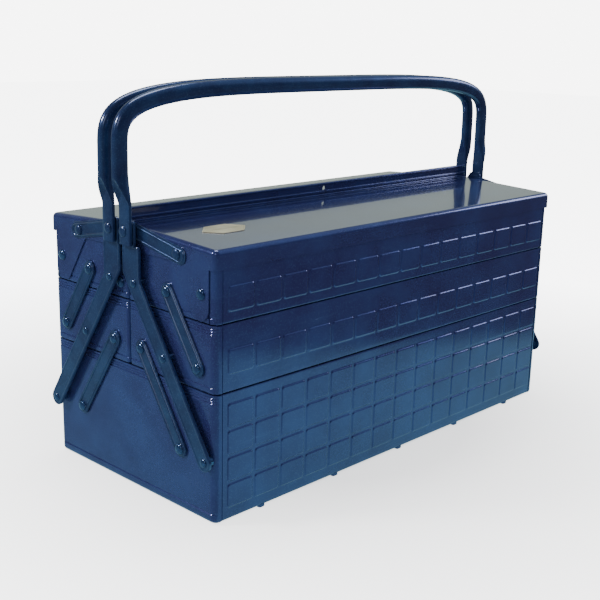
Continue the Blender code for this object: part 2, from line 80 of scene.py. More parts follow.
# Pressed cells on the long faces
CELL_COLUMNS = 15
CELL_PITCH = 0.030
CELL_ROW_PITCH = 0.0228
CELL_WIDTH = 0.0281
CELL_HEIGHT = 0.0209
CELL_CORNER = 0.0026
CELL_CORNER_STEPS = 4
CELL_RISE = 0.0008
CELL_SHIFT = 0.002
CELL_ROWS_TOP = {"tub": 0.1025, "middle": 0.1469, "top": 0.1974}
TUB_CELL_ROWS = 4

CELL_PROFILE = ((0, 0), (0.0003, 0.14), (0.0008, 0.84), (0.0012, 1.0), (0.0017, 1.0))
CELL_CORNER_SHRINK = 0.6

# Grooves across the end walls, below the rim and above the floor
BEAD_DEPTH = 0.0007
BEAD_HALF = 0.0007
RIM_BEAD_DROPS = (0.0068, 0.0046, 0.0024)
TUB_FLOOR_BEAD = 0.0078
TRAY_FLOOR_BEAD = 0.0052

# Runner ribs under the tub
RIB_DROP = 0.0015
RIB_PITCH = 0.091
RIB_COUNT = 5
RIB_WIDTH = 0.007
RIB_LENGTH = 0.2168
RIB_TURN_UP = 0.1060
RIB_END_TOP = 0.0032
RIB_PROFILE = ((RIB_DROP + 0.0004, 0), (0.0007, 0.0001), (0.0002, 0.0006), (0, 0.0014))
RIB_END_SHRINK = 0.5
RIB_CORNER = 0.0016
RIB_CORNER_STEPS = 3

# Lids
LID_SHEET = 0.0009
EAR_OUTER = 0.1020
EAR_INNER = 0.0600
EAR_FILLET = 0.0055
EAR_FILLET_SHIFT = 0.9
EAR_SLANT = math.radians(32)
EAR_LINE_START = 0.0006
EAR_LINE_MIDDLE = 0.0300
EAR_TOE_OUT = 0.0888
EAR_TOE_RADIUS = 0.0060
EAR_HEEL_RADIUS = 0.0100
EAR_BACK_STEP = 0.0002
LID_SKIRT_BOTTOM = 0.2098
LID_EDGE_TOP = 0.2253
LID_INNER_TOP = 0.2310
LID_TOP_RADIUS = 0.0042
LID_CORNER = 0.0050
LID_TOP_STEPS = 5
LID_FOLD_RISE = 0.0012
FLANGE_HALF_LENGTH = WALL_X - 0.002
FLANGE_FACE = 0.0003
PADLOCK_HOLE_RADIUS = 0.0028
PADLOCK_HOLE_Z = 0.2383
DRILL_SEGMENTS = 28
DRILL_DEPTH = 0.02

# Bars
ARM_HALF_WIDTH = 0.0075
ARM_HEAD_INNER = 0.0020
ARM_HEAD_OUTER = 0.0240
ARM_SHOULDER_Z = 0.2155
TONGUE_INNER = 0.0030
TONGUE_OUTER = 0.0180
TONGUE_TOP = 0.2360
TONGUE_CORNER = 0.004
ARM_STAND_OFF = 0.0012
LINK_HALF_WIDTH = 0.0070
STRAP_OVERRUN = 0.0040
STRAP_INNER_OVERRUN = 0.0010
STRAP_LAYER = (0.0018, 0.0032)
BAR_RIB_RISE = 0.0008
ROUND_END_STEPS = 14

# Rivets
HEAD_RADIUS = 0.0045
HEAD_HEIGHT = 0.0021
TAIL_SIZE = 0.72
ARM_RIVET_SIZE = 0.8
SPACER = 0.0024
PIN_HEIGHT = 0.0018
ARM_HEAD_SINK = 0.0005
LINK_HEAD_SINK = 0.0006
TAIL_SINK = 0.0003
SEAT_SINK = 0.0002
DOME_SEGMENTS = 20
DOME_RINGS = 12

SHARP_ANGLE = math.radians(38)
FACE_WEIGHT = 80
WELD = 0.00002
FINE_WELD = 0.00001


def linked(name, mesh):
    obj = bpy.data.objects.new(name, mesh)
    bpy.context.scene.collection.objects.link(obj)
    return obj


def mesh_from(bm, name):
    mesh = bpy.data.meshes.new(name)
    bm.to_mesh(mesh)
    bm.free()
    return mesh


def skin_between(bm, rings, closed=True):
    """Faces that join each ring of points to the next."""
    skin = []
    for lower, upper in zip(rings, rings[1:]):
        for number in range(len(lower) if closed else len(lower) - 1):
            after = (number + 1) % len(lower)
            skin.append(bm.faces.new((lower[number], lower[after], upper[after], upper[number])))
    return skin


def capped_skin(bm, rings):
    """A closed skin through the rings, faces pointing out."""
    skin = skin_between(bm, rings) + [bm.faces.new(rings[0]), bm.faces.new(rings[-1])]
    bmesh.ops.recalc_face_normals(bm, faces=skin)
    return skin


def baked(obj):
    """The object's mesh as its modifiers leave it. The object is removed."""
    graph = bpy.context.evaluated_depsgraph_get()
    mesh = bpy.data.meshes.new_from_object(obj.evaluated_get(graph))
    name = obj.name
    bpy.data.objects.remove(obj, do_unlink=True)
    mesh.name = name
    return mesh


def face_weighted(mesh, name):
    """Smooth shading whose normals follow the large faces, with sharp folds kept."""
    mesh.shade_smooth()
    mesh.set_sharp_from_angle(angle=SHARP_ANGLE)
    obj = linked(name, mesh)
    modifier = obj.modifiers.new("face_weight", "WEIGHTED_NORMAL")
    modifier.keep_sharp = True
    modifier.weight = FACE_WEIGHT
    return baked(obj)


def keep_piece(name, mesh, material, body, nodes):
    """Finishes a piece: shading, enamel, the body it rides on and the frame nodes it stands for."""
    mesh = face_weighted(mesh, name)
    mesh.materials.clear()
    mesh.materials.append(material)
    piece = linked(name, mesh)
    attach(piece, body)
    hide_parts(*nodes)
    return piece


# ---------------------------------------------------------------- enamel and metals


def shader_group(name, inputs, outputs):
    """An empty shader node group with named sockets. Returns the tree, its input and its output node."""
    tree = bpy.data.node_groups.new(name, "ShaderNodeTree")
    for label, kind, value in inputs:
        socket = tree.interface.new_socket(label, in_out="INPUT", socket_type=f"NodeSocket{kind}")
        if value is not None:
            socket.default_value = value
    for label, kind in outputs:
        tree.interface.new_socket(label, in_out="OUTPUT", socket_type=f"NodeSocket{kind}")
    return tree, tree.nodes.new("NodeGroupInput"), tree.nodes.new("NodeGroupOutput")


def wire(tree, output, target):
    tree.links.new(output, target)


def noise(tree, vector, scale, detail, roughness=0.55):
    node = tree.nodes.new("ShaderNodeTexNoise")
    node.inputs["Detail"].default_value = detail
    node.inputs["Roughness"].default_value = roughness
    wire(tree, vector, node.inputs["Vector"])
    if isinstance(scale, (int, float)):
        node.inputs["Scale"].default_value = scale
    else:
        wire(tree, scale, node.inputs["Scale"])
    return node.outputs["Fac"]


def spread(tree, value, low, high, to_low=0.0, to_high=1.0):
    """Maps low to high of a value onto another range, clamped."""
    node = tree.nodes.new("ShaderNodeMapRange")
    for label, number in (("From Min", low), ("From Max", high), ("To Min", to_low), ("To Max", to_high)):
        node.inputs[label].default_value = number
    wire(tree, value, node.inputs["Value"])
    return node.outputs["Result"]


def maths(tree, operation, first, second):
    node = tree.nodes.new("ShaderNodeMath")
    node.operation = operation
    for socket, value in zip(node.inputs, (first, second)):
        if isinstance(value, (int, float)):
            socket.default_value = value
        else:
            wire(tree, value, socket)
    return node.outputs[0]


def mixed(tree, factor, first, second):
    node = tree.nodes.new("ShaderNodeMix")
    node.data_type = "RGBA"
    for label, value in (("Factor_Float", factor), ("A_Color", first), ("B_Color", second)):
        socket = next(s for s in node.inputs if s.identifier == label)
        if hasattr(value, "is_linked"):
            wire(tree, value, socket)
        else:
            socket.default_value = value
    return next(s for s in node.outputs if s.identifier == "Result_Color")


def make_mottle():
    """Two enamel tones in soft clouds with a fine metallic fleck through them."""
    tree, given, out = shader_group(
        "enamel_mottle",
        (
            ("Vector", "Vector", None),
            ("Deep", "Color", (0.02, 0.04, 0.13, 1)),
            ("Light", "Color", (0.03, 0.08, 0.22, 1)),
            ("Fleck", "Color", (0.12, 0.20, 0.34, 1)),
            ("Cloud Scale", "Float", 22.0),
            ("Fleck Scale", "Float", 900.0),
            ("Fleck Amount", "Float", 0.35),
        ),
        (("Color", "Color"), ("Fleck Mask", "Float")),
    )
    vector = given.outputs["Vector"]
    clouds = spread(tree, noise(tree, vector, given.outputs["Cloud Scale"], 3), 0.35, 0.68)
    tone = mixed(tree, clouds, given.outputs["Deep"], given.outputs["Light"])
    flecks = spread(tree, noise(tree, vector, given.outputs["Fleck Scale"], 2), 0.54, 0.72)
    mask = maths(tree, "MULTIPLY", flecks, given.outputs["Fleck Amount"])
    wire(tree, mixed(tree, mask, tone, given.outputs["Fleck"]), out.inputs["Color"])
    wire(tree, mask, out.inputs["Fleck Mask"])
    return tree


def make_orange_peel():
    """The slow ripple and fine grain that sprayed enamel dries with, as a height."""
    tree, given, out = shader_group(
        "orange_peel",
        (
            ("Vector", "Vector", None),
            ("Ripple Scale", "Float", 160.0),
            ("Grain Scale", "Float", 1400.0),
            ("Grain Share", "Float", 0.2),
        ),
        (("Height", "Float"),),
    )
    vector = given.outputs["Vector"]
    ripple = noise(tree, vector, given.outputs["Ripple Scale"], 2)
    grain = noise(tree, vector, given.outputs["Grain Scale"], 1)
    grained = maths(tree, "MULTIPLY", grain, given.outputs["Grain Share"])
    wire(tree, maths(tree, "ADD", ripple, grained), out.inputs["Height"])
    return tree


def make_scuffs():
    """Sparse fine rubs, stretched along the chest, as a mask."""
    tree, given, out = shader_group(
        "handling_scuffs",
        (("Vector", "Vector", None), ("Scale", "Float", 60.0), ("Amount", "Float", 0.3)),
        (("Mask", "Float"),),
    )
    stretch = tree.nodes.new("ShaderNodeMapping")
    stretch.inputs["Scale"].default_value = (0.25, 1.0, 2.5)
    wire(tree, given.outputs["Vector"], stretch.inputs["Vector"])
    rubs = spread(tree, noise(tree, stretch.outputs["Vector"], given.outputs["Scale"], 6, 0.7), 0.60, 0.74)
    wire(tree, maths(tree, "MULTIPLY", rubs, given.outputs["Amount"]), out.inputs["Mask"])
    return tree


MOTTLE = make_mottle()
ORANGE_PEEL = make_orange_peel()
SCUFFS = make_scuffs()


def place_group(tree, group, vector, **values):
    node = tree.nodes.new("ShaderNodeGroup")
    node.node_tree = group
    wire(tree, vector, node.inputs["Vector"])
    for label, value in values.items():
        node.inputs[label.replace("_", " ")].default_value = value
    return node


SCUFF_AMOUNT = 0.25
SCUFF_ROUGHENS = 0.25
COAT_ROUGHNESS = 0.05


def finish_material(name, deep, light, fleck, metallic, roughness, coat, clouds=22.0, peel=0.00006):
    """Enamel over steel: mottled tone, faint ripple and light handling marks under a clear coat."""
    material = bpy.data.materials.new(name)
    material.use_nodes = True
    tree = material.node_tree
    shader = tree.nodes["Principled BSDF"]
    where = tree.nodes.new("ShaderNodeTexCoord").outputs["Object"]
    mottle = place_group(
        tree, MOTTLE, where, Deep=(*deep, 1), Light=(*light, 1), Fleck=(*fleck, 1), Cloud_Scale=clouds
    )
    rubs = place_group(tree, SCUFFS, where, Amount=SCUFF_AMOUNT)
    tinted = mixed(tree, rubs.outputs["Mask"], mottle.outputs["Color"], (*fleck, 1))
    wire(tree, tinted, shader.inputs["Base Color"])
    gloss = spread(tree, rubs.outputs["Mask"], 0.0, 1.0, roughness, roughness + SCUFF_ROUGHENS)
    wire(tree, gloss, shader.inputs["Roughness"])
    ripple = place_group(tree, ORANGE_PEEL, where)
    bump = tree.nodes.new("ShaderNodeBump")
    bump.inputs["Strength"].default_value = 1.0
    bump.inputs["Distance"].default_value = peel
    wire(tree, ripple.outputs["Height"], bump.inputs["Height"])
    wire(tree, bump.outputs["Normal"], shader.inputs["Normal"])
    shader.inputs["Metallic"].default_value = metallic
    shader.inputs["Coat Weight"].default_value = coat
    shader.inputs["Coat Roughness"].default_value = COAT_ROUGHNESS
    return material


BODY_ENAMEL = finish_material(
    "blue_body_enamel",
    deep=(0.038, 0.044, 0.175),
    light=(0.048, 0.076, 0.250),
    fleck=(0.10, 0.18, 0.38),
    metallic=0.50,
    roughness=0.22,
    coat=0.8,
)
LID_ENAMEL = finish_material(
    "blue_lid_enamel",
    deep=(0.036, 0.042, 0.165),
    light=(0.046, 0.070, 0.235),
    fleck=(0.10, 0.18, 0.36),
    metallic=0.50,
    roughness=0.20,
    coat=1.0,
)
BAR_ENAMEL = finish_material(
    "blue_bar_enamel",
    deep=(0.022, 0.042, 0.130),
    light=(0.032, 0.075, 0.195),
    fleck=(0.10, 0.19, 0.33),
    metallic=0.55,
    roughness=0.28,
    coat=0.8,
    clouds=45.0,
)
RIVET_ENAMEL = finish_material(
    "blue_rivet_enamel",
    deep=(0.030, 0.070, 0.190),
    light=(0.045, 0.120, 0.280),
    fleck=(0.14, 0.26, 0.42),
    metallic=0.70,
    roughness=0.16,
    coat=1.0,
    clouds=300.0,
)
PLATE_METAL = finish_material(
    "satin_gold_plate",
    deep=(0.62, 0.57, 0.36),
    light=(0.78, 0.73, 0.51),
    fleck=(0.90, 0.86, 0.68),
    metallic=0.35,
    roughness=0.38,
    coat=0.3,
    clouds=90.0,
    peel=0.00002,
)


# ---------------------------------------------------------------- trees that repeat a shape


def geometry_tree(name, inputs):
    """An empty geometry tree with a Geometry socket at each end and named inputs."""
    tree = bpy.data.node_groups.new(name, "GeometryNodeTree")
    tree.interface.new_socket("Geometry", in_out="INPUT", socket_type="NodeSocketGeometry")
    for label, kind, value in inputs:
        socket = tree.interface.new_socket(label, in_out="INPUT", socket_type=f"NodeSocket{kind}")
        if value is not None:
            socket.default_value = value
    tree.interface.new_socket("Geometry", in_out="OUTPUT", socket_type="NodeSocketGeometry")
    return tree, tree.nodes.new("NodeGroupInput"), tree.nodes.new("NodeGroupOutput")


def finish_tree(tree, instances, given, out, merge=None):
    """Ends a tree: real geometry, doubles merged where asked, then its material."""
    realize = tree.nodes.new("GeometryNodeRealizeInstances")
    wire(tree, instances, realize.inputs["Geometry"])
    result = realize.outputs["Geometry"]
    if merge:
        weld = tree.nodes.new("GeometryNodeMergeByDistance")
        weld.inputs["Distance"].default_value = merge
        wire(tree, result, weld.inputs["Geometry"])
        result = weld.outputs["Geometry"]
    finish = tree.nodes.new("GeometryNodeSetMaterial")
    wire(tree, result, finish.inputs["Geometry"])
    wire(tree, given.outputs["Finish"], finish.inputs["Material"])
    wire(tree, finish.outputs["Geometry"], out.inputs["Geometry"])


def grown(tree, mesh, values):
    """The plain mesh that a tree grows from a starting mesh, with its inputs set by name."""
    seed = linked(mesh.name, mesh)
    modifier = seed.modifiers.new(tree.name, "NODES")
    modifier.node_group = tree
    for item in tree.interface.items_tree:
        if item.item_type == "SOCKET" and item.in_out == "INPUT" and item.name in values:
            modifier[item.identifier] = values[item.name]
    return baked(seed)


def vector_of(tree, **parts):
    node = tree.nodes.new("ShaderNodeCombineXYZ")
    for label, value in parts.items():
        if isinstance(value, (int, float)):
            node.inputs[label].default_value = value
        else:
            wire(tree, value, node.inputs[label])
    return node.outputs[0]


def line_of_points(tree, count, offset):
    line = tree.nodes.new("GeometryNodeMeshLine")
    line.mode = "OFFSET"
    wire(tree, count, line.inputs["Count"])
    wire(tree, offset, line.inputs["Offset"])
    return line.outputs["Mesh"]


def on_points(tree, points, instance):
    node = tree.nodes.new("GeometryNodeInstanceOnPoints")
    wire(tree, points, node.inputs["Points"])
    wire(tree, instance, node.inputs["Instance"])
    return node


def make_cell_tree():
    """Repeats one pressed cell in columns and rows that share their borders."""
    tree, given, out = geometry_tree(
        "pressed_cell_rows",
        (
            ("Columns", "Int", CELL_COLUMNS),
            ("Rows", "Int", 1),
            ("Column Pitch", "Float", CELL_PITCH),
            ("Row Pitch", "Float", CELL_ROW_PITCH),
            ("Finish", "Material", None),
        ),
    )
    across = vector_of(tree, X=given.outputs["Column Pitch"])
    row = on_points(tree, line_of_points(tree, given.outputs["Columns"], across), given.outputs["Geometry"])
    upwards = vector_of(tree, Y=given.outputs["Row Pitch"])
    rows = on_points(tree, line_of_points(tree, given.outputs["Rows"], upwards), row.outputs["Instances"])
    finish_tree(tree, rows.outputs["Instances"], given, out, merge=FINE_WELD)
    return tree


def make_rivet_tree():
    """A domed head on a short collar at each point, turned along the point's facing and sized by it."""
    tree, given, out = geometry_tree(
        "domed_rivets",
        (
            ("Head Radius", "Float", HEAD_RADIUS),
            ("Head Height", "Float", HEAD_HEIGHT),
            ("Collar Height", "Float", 0.0005),
            ("Seat Depth", "Float", 0.0024),
            ("Finish", "Material", None),
        ),
    )
    dome = tree.nodes.new("GeometryNodeMeshUVSphere")
    dome.inputs["Segments"].default_value = DOME_SEGMENTS
    dome.inputs["Rings"].default_value = DOME_RINGS
    dome.inputs["Radius"].default_value = 1
    radius, height = given.outputs["Head Radius"], given.outputs["Head Height"]
    collar, seat = given.outputs["Collar Height"], given.outputs["Seat Depth"]
    domed = tree.nodes.new("GeometryNodeTransform")
    wire(tree, dome.outputs["Mesh"], domed.inputs["Geometry"])
    wire(tree, vector_of(tree, X=radius, Y=radius, Z=height), domed.inputs["Scale"])
    wire(tree, vector_of(tree, Z=collar), domed.inputs["Translation"])
    disc = tree.nodes.new("GeometryNodeMeshCylinder")
    disc.inputs["Vertices"].default_value = DOME_SEGMENTS
    wire(tree, radius, disc.inputs["Radius"])
    wire(tree, maths(tree, "ADD", collar, seat), disc.inputs["Depth"])
    seated = tree.nodes.new("GeometryNodeTransform")
    wire(tree, disc.outputs["Mesh"], seated.inputs["Geometry"])
    middle = maths(tree, "MULTIPLY", maths(tree, "SUBTRACT", collar, seat), 0.5)
    wire(tree, vector_of(tree, Z=middle), seated.inputs["Translation"])
    both = tree.nodes.new("GeometryNodeJoinGeometry")
    wire(tree, domed.outputs["Geometry"], both.inputs["Geometry"])
    wire(tree, seated.outputs["Geometry"], both.inputs["Geometry"])
    heads = on_points(tree, given.outputs["Geometry"], both.outputs["Geometry"])
    for label, kind in (("facing", "FLOAT_VECTOR"), ("size", "FLOAT_VECTOR")):
        named = tree.nodes.new("GeometryNodeInputNamedAttribute")
        named.data_type = kind
        named.inputs["Name"].default_value = label
        value = named.outputs["Attribute"]
        if label == "facing":
            turn = tree.nodes.new("FunctionNodeAlignRotationToVector")
            turn.axis = "Z"
            wire(tree, value, turn.inputs["Vector"])
            wire(tree, turn.outputs["Rotation"], heads.inputs["Rotation"])
        else:
            wire(tree, value, heads.inputs["Scale"])
    finish_tree(tree, heads.outputs["Instances"], given, out)
    return tree


CELL_TREE = make_cell_tree()
RIVET_TREE = make_rivet_tree()


# ---------------------------------------------------------------- outlines


def arc(centre, radius, start, end, steps):
    """Points on an arc, angles in radians."""
    points = []
    for number in range(steps + 1):
        angle = start + (end - start) * number / steps
        points.append((centre[0] + radius * math.cos(angle), centre[1] + radius * math.sin(angle)))
    return points


def rounded_rectangle(half_width, half_height, radius, steps):
    """Counter-clockwise points, each corner an arc that starts on the side before it."""
    points = []
    quarter = math.pi / 2
    for number, (x, y) in enumerate(((1, 1), (-1, 1), (-1, -1), (1, -1))):
        centre = (x * (half_width - radius), y * (half_height - radius))
        points += arc(centre, radius, number * quarter, (number + 1) * quarter, steps)
    return points


def stadium(start, end, half_width, start_overrun=0.0, end_overrun=0.0):
    """A strip with round ends about two points, each end moved outwards by its overrun."""
    angle = math.atan2(end[1] - start[1], end[0] - start[0])
    along = (math.cos(angle), math.sin(angle))
    first = tuple(start[i] - along[i] * start_overrun for i in (0, 1))
    last = tuple(end[i] + along[i] * end_overrun for i in (0, 1))
    quarter = math.pi / 2
    outline = arc(last, half_width, angle - quarter, angle + quarter, ROUND_END_STEPS)
    return outline + arc(first, half_width, angle + quarter, angle + 3 * quarter, ROUND_END_STEPS)


def inset(points, distance):
    """A closed outline moved inwards by a distance, whichever way round it runs."""
    area = sum(a[0] * b[1] - b[0] * a[1] for a, b in zip(points, points[1:] + points[:1]))
    turn = 1 if area > 0 else -1
    moved = []
    for number, here in enumerate(points):
        before, after = points[number - 1], points[(number + 1) % len(points)]
        first = (Vector(here) - Vector(before)).normalized()
        second = (Vector(after) - Vector(here)).normalized()
        normal = Vector((-(first.y + second.y), first.x + second.x)).normalized() * turn
        edge_normal = Vector((-first.y, first.x)) * turn
        reach = distance / max(normal.dot(edge_normal), 0.5)
        moved.append((here[0] + normal.x * reach, here[1] + normal.y * reach))
    return moved


# ---------------------------------------------------------------- pressed boxes


def make_cell():
    """One cell lying in the XY plane, raised along +Z, with the flat strip round it."""
    bm = bmesh.new()
    steps = CELL_CORNER_STEPS
    rings = []
    for inwards, rise in CELL_PROFILE:
        radius = CELL_CORNER - inwards * CELL_CORNER_SHRINK
        outline = rounded_rectangle(CELL_WIDTH / 2 - inwards, CELL_HEIGHT / 2 - inwards, radius, steps)
        rings.append([bm.verts.new((x, y, rise * CELL_RISE)) for x, y in outline])
    half_x, half_y = CELL_PITCH / 2, CELL_ROW_PITCH / 2
    corners = [bm.verts.new((x * half_x, y * half_y, 0)) for x, y in ((1, 1), (-1, 1), (-1, -1), (1, -1))]
    per_corner = steps + 1
    for number, corner in enumerate(corners):
        first = number * per_corner
        for step in range(steps):
            bm.faces.new((corner, rings[0][first + step + 1], rings[0][first + step]))
        after = (number + 1) % 4
        bm.faces.new((corner, corners[after], rings[0][after * per_corner], rings[0][first + steps]))
    skin_between(bm, rings)
    bm.faces.new(rings[-1])
    bmesh.ops.recalc_face_normals(bm, faces=bm.faces)
    if rings[-1][0].link_faces[0].normal.z < 0:
        bmesh.ops.reverse_faces(bm, faces=bm.faces)
    return mesh_from(bm, "pressed_cell")


def cell_panel(rows, finish):
    return grown(CELL_TREE, make_cell(), {"Rows": rows, "Finish": finish})


def wall_plan(y_low, y_high, cell_walls, ear_gap):
    """Points round a box seen from above, counter-clockwise: (point, outward normal, recess, cell column).

    A wall with cells has a lap step near each corner and a point at every column border.
    """
    plan = []
    walls = (
        (Vector((1, 0)), Vector((0, -1)), y_low),
        (Vector((0, 1)), Vector((1, 0)), WALL_X),
        (Vector((-1, 0)), Vector((0, 1)), y_high),
        (Vector((0, -1)), Vector((-1, 0)), WALL_X),
    )
    middle = Vector((0, (y_low + y_high) / 2))
    half = Vector((WALL_X, (y_high - y_low) / 2))
    radius_of = {y: CORNER if abs(y) > WALL_Y / 2 else SMALL_CORNER for y in (y_low, y_high)}
    for number, (along, outwards, level) in enumerate(walls):
        reach = abs(half.dot(along))
        depth = abs(half.dot(outwards))
        if number % 2 == 0:
            start_radius = end_radius = radius_of[level]
        else:
            ends = (y_low, y_high) if number == 1 else (y_high, y_low)
            start_radius, end_radius = radius_of[ends[0]], radius_of[ends[1]]
        base = middle + outwards * depth
        steps = [(-reach + start_radius, 0, None)]
        if number % 2 == 0 and level in cell_walls:
            lap = WALL_X - LAP_FROM_END
            first = -CELL_COLUMNS * CELL_PITCH / 2 + CELL_SHIFT
            steps += [(-lap + across, depth_at, None) for across, depth_at in LAP_GROOVE]
            steps += [(first + CELL_PITCH * column, LAP_DEPTH, column) for column in range(CELL_COLUMNS + 1)]
            steps += [(lap - across, depth_at, None) for across, depth_at in reversed(LAP_GROOVE)]
        if number % 2 == 1 and ear_gap:
            outer = 1 if cell_walls[0] > 0 else -1
            gaps = [((outer * out - middle.y) * along.y, recess, None) for out, recess in EAR_GAP]
            steps = sorted(steps + gaps)
        for distance, recess, column in steps:
            plan.append((base + along * distance, outwards, recess, column))
        # The corner after this wall, with the wall's own end as its first point.
        centre = base + along * (reach - end_radius) - outwards * end_radius
        start_angle = math.atan2(outwards.y, outwards.x)
        for step in range(CORNER_STEPS):
            angle = start_angle + math.pi / 2 * step / CORNER_STEPS
            normal = Vector((math.cos(angle), math.sin(angle)))
            plan.append((centre + normal * end_radius, normal, 0, None))
    return plan


def level_ring(bm, plan, height, long_offset, end_offset):
    ring = []
    for point, normal, recess, _ in plan:
        share = normal.x * normal.x
        offset = end_offset * share + long_offset * (1 - share) - recess
        ring.append(bm.verts.new((point.x + normal.x * offset, point.y + normal.y * offset, height)))
    return ring


def bead_levels(height, rise=1):
    """A narrow groove across the end walls only, as (height, long offset, end offset)."""
    levels = [(height - BEAD_HALF, 0, 0), (height, 0, -BEAD_DEPTH), (height + BEAD_HALF, 0, 0)]
    return levels if rise > 0 else levels[::-1]


def box_levels(floor, top, bottom_radius, rows_bottom, rows, beads):
    """Levels up the outside, over the rolled rim and down the inside of a box."""
    quarter = math.pi / 2
    outer = []
    for step in range(BOTTOM_STEPS + 1):
        angle = quarter * step / BOTTOM_STEPS
        sink = bottom_radius * (1 - math.sin(angle))
        outer.append((floor + bottom_radius * (1 - math.cos(angle)), -sink, -sink))
    rows_at = [rows_bottom + CELL_ROW_PITCH * number for number in range(rows + 1)]
    for bead in (b for b in beads if b < rows_bottom):
        outer += bead_levels(bead)
    outer += [(height, 0, 0) for height in rows_at]
    for bead in (b for b in beads if b > rows_at[-1]):
        outer += bead_levels(bead)
    fold = HEM_FOLD
    rim = [
        (top - RIM_EASE, 0, 0),
        (top - RIM_EASE * 0.3, -RIM_EASE * 0.3, -RIM_EASE * 0.3),
        (top, -RIM_EASE, -RIM_EASE),
        (top, -fold + RIM_EASE, -fold + RIM_EASE),
        (top - RIM_EASE * 0.3, -fold + RIM_EASE * 0.3, -fold + RIM_EASE * 0.3),
        (top - RIM_EASE, -fold, -fold),
        (top - HEM_DEPTH + RIM_EASE, -fold, -fold),
        (top - HEM_DEPTH, -fold + RIM_EASE * 0.4, -fold + RIM_EASE * 0.4),
        (top - HEM_DEPTH, -SHEET, -SHEET),
    ]
    inner = [(height, -SHEET, -SHEET) for height in reversed(rows_at)]
    inner_radius = bottom_radius - SHEET
    for step in range(BOTTOM_STEPS + 1):
        angle = quarter * step / BOTTOM_STEPS
        sink = -SHEET - inner_radius * (1 - math.cos(angle))
        inner.append((floor + SHEET + inner_radius * (1 - math.sin(angle)), sink, sink))
    return outer + rim + inner, rows_at


def pressed_box(name, y_range, z_range, bottom_radius, rows, rows_top, cell_walls, beads, ear_gap=False):
    """A folded open box as one closed skin, with pressed cells let into the walls named by their y."""
    rows_bottom = rows_top - rows * CELL_ROW_PITCH
    levels, rows_at = box_levels(*z_range, bottom_radius, rows_bottom, rows, beads)
    plan = wall_plan(*y_range, cell_walls, ear_gap)
    bm = bmesh.new()
    rings = [level_ring(bm, plan, *level) for level in levels]
    row_heights = [round(height, 7) for height in rows_at]
    count = len(plan)
    for (low_level, low), (high_level, high) in zip(zip(levels, rings), list(zip(levels, rings))[1:]):
        pressed_row = all(round(level[0], 7) in row_heights for level in (low_level, high_level))
        for number in range(count):
            after = (number + 1) % count
            pressed = pressed_row and plan[number][3] is not None and plan[after][3] is not None
            if not pressed:
                bm.faces.new((low[number], low[after], high[after], high[number]))
    bm.faces.new(rings[0])
    bm.faces.new(rings[-1])
    panel = cell_panel(rows, BODY_ENAMEL)
    for y in cell_walls:
        sign = 1 if y > 0 else -1
        for inwards in (0, SHEET):
            placed = panel.copy()
            origin = Vector(
                (
                    sign * ((CELL_COLUMNS - 1) * CELL_PITCH / 2 - CELL_SHIFT),
                    sign * (abs(y) - LAP_DEPTH - inwards),
                    rows_bottom + CELL_ROW_PITCH / 2,
                )
            )
            axes = Matrix(((-sign, 0, 0), (0, 0, sign), (0, 1, 0))).to_4x4()
            placed.transform(Matrix.Translation(origin) @ axes)
            bm.from_mesh(placed)
    bmesh.ops.remove_doubles(bm, verts=bm.verts, dist=WELD)
    bmesh.ops.recalc_face_normals(bm, faces=bm.faces)
    return mesh_from(bm, name)


def add_runner_ribs(mesh, name):
    """Half-round runners under the tub, which stand just past its front and back edges."""
    bm = bmesh.new()
    bm.from_mesh(mesh)
    for number in range(RIB_COUNT):
        x = (number - (RIB_COUNT - 1) / 2) * RIB_PITCH
        rings = []
        for height, inwards in RIB_PROFILE:
            half_width, half_length = RIB_WIDTH / 2 - inwards, RIB_LENGTH / 2 - inwards * RIB_END_SHRINK
            end = rounded_rectangle(half_width, half_length, RIB_CORNER, RIB_CORNER_STEPS)
            far = len(end) // 2
            turns = [(sx * half_width, sy * RIB_TURN_UP) for sx, sy in ((1, 1), (-1, 1), (-1, -1), (1, -1))]
            outline = [turns[0]] + end[:far] + turns[1:3] + end[far:] + [turns[3]]
            raised = [height if inwards or abs(py) <= RIB_TURN_UP else RIB_END_TOP for _, py in outline]
            rings.append([bm.verts.new((x + px, py, z)) for (px, py), z in zip(outline, raised)])
        skin = skin_between(bm, rings) + [bm.faces.new(rings[0]), bm.faces.new(rings[-1])]
        bmesh.ops.remove_doubles(bm, verts=[v for ring in rings for v in ring], dist=FINE_WELD)
        bmesh.ops.recalc_face_normals(bm, faces=[face for face in skin if face.is_valid])
    return mesh_from(bm, name)


def make_tub():
    low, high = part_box("tub")
    floor = low.z + RIB_DROP
    rim_beads = [high.z - drop for drop in RIM_BEAD_DROPS]
    mesh = pressed_box(
        "tub_shell",
        (-WALL_Y, WALL_Y),
        (floor, high.z),
        TUB_BOTTOM_RADIUS,
        TUB_CELL_ROWS,
        CELL_ROWS_TOP["tub"],
        (-WALL_Y, WALL_Y),
        [floor + TUB_FLOOR_BEAD] + rim_beads,
    )
    mesh = add_runner_ribs(mesh, "tub_shell")
    keep_piece("tub_shell", mesh, BODY_ENAMEL, "tub", ["tub"])


def make_tray(side, tier):
    sign = SIDES[side]
    low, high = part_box(f"{side}_{tier}_tray")
    name = f"{side}_{tier}_tray_shell"
    beads = [low.z + TRAY_FLOOR_BEAD]
    if tier == "middle":
        beads += [high.z - drop for drop in RIM_BEAD_DROPS]
    mesh = pressed_box(
        name,
        (low.y, high.y),
        (low.z, high.z),
        TRAY_BOTTOM_RADIUS,
        1,
        CELL_ROWS_TOP[tier],
        (sign * WALL_Y,),
        beads,
        tier == "top",
    )
    keep_piece(name, mesh, BODY_ENAMEL, f"{side}_{tier}_tray", [f"{side}_{tier}_tray"])


# ---------------------------------------------------------------- lids


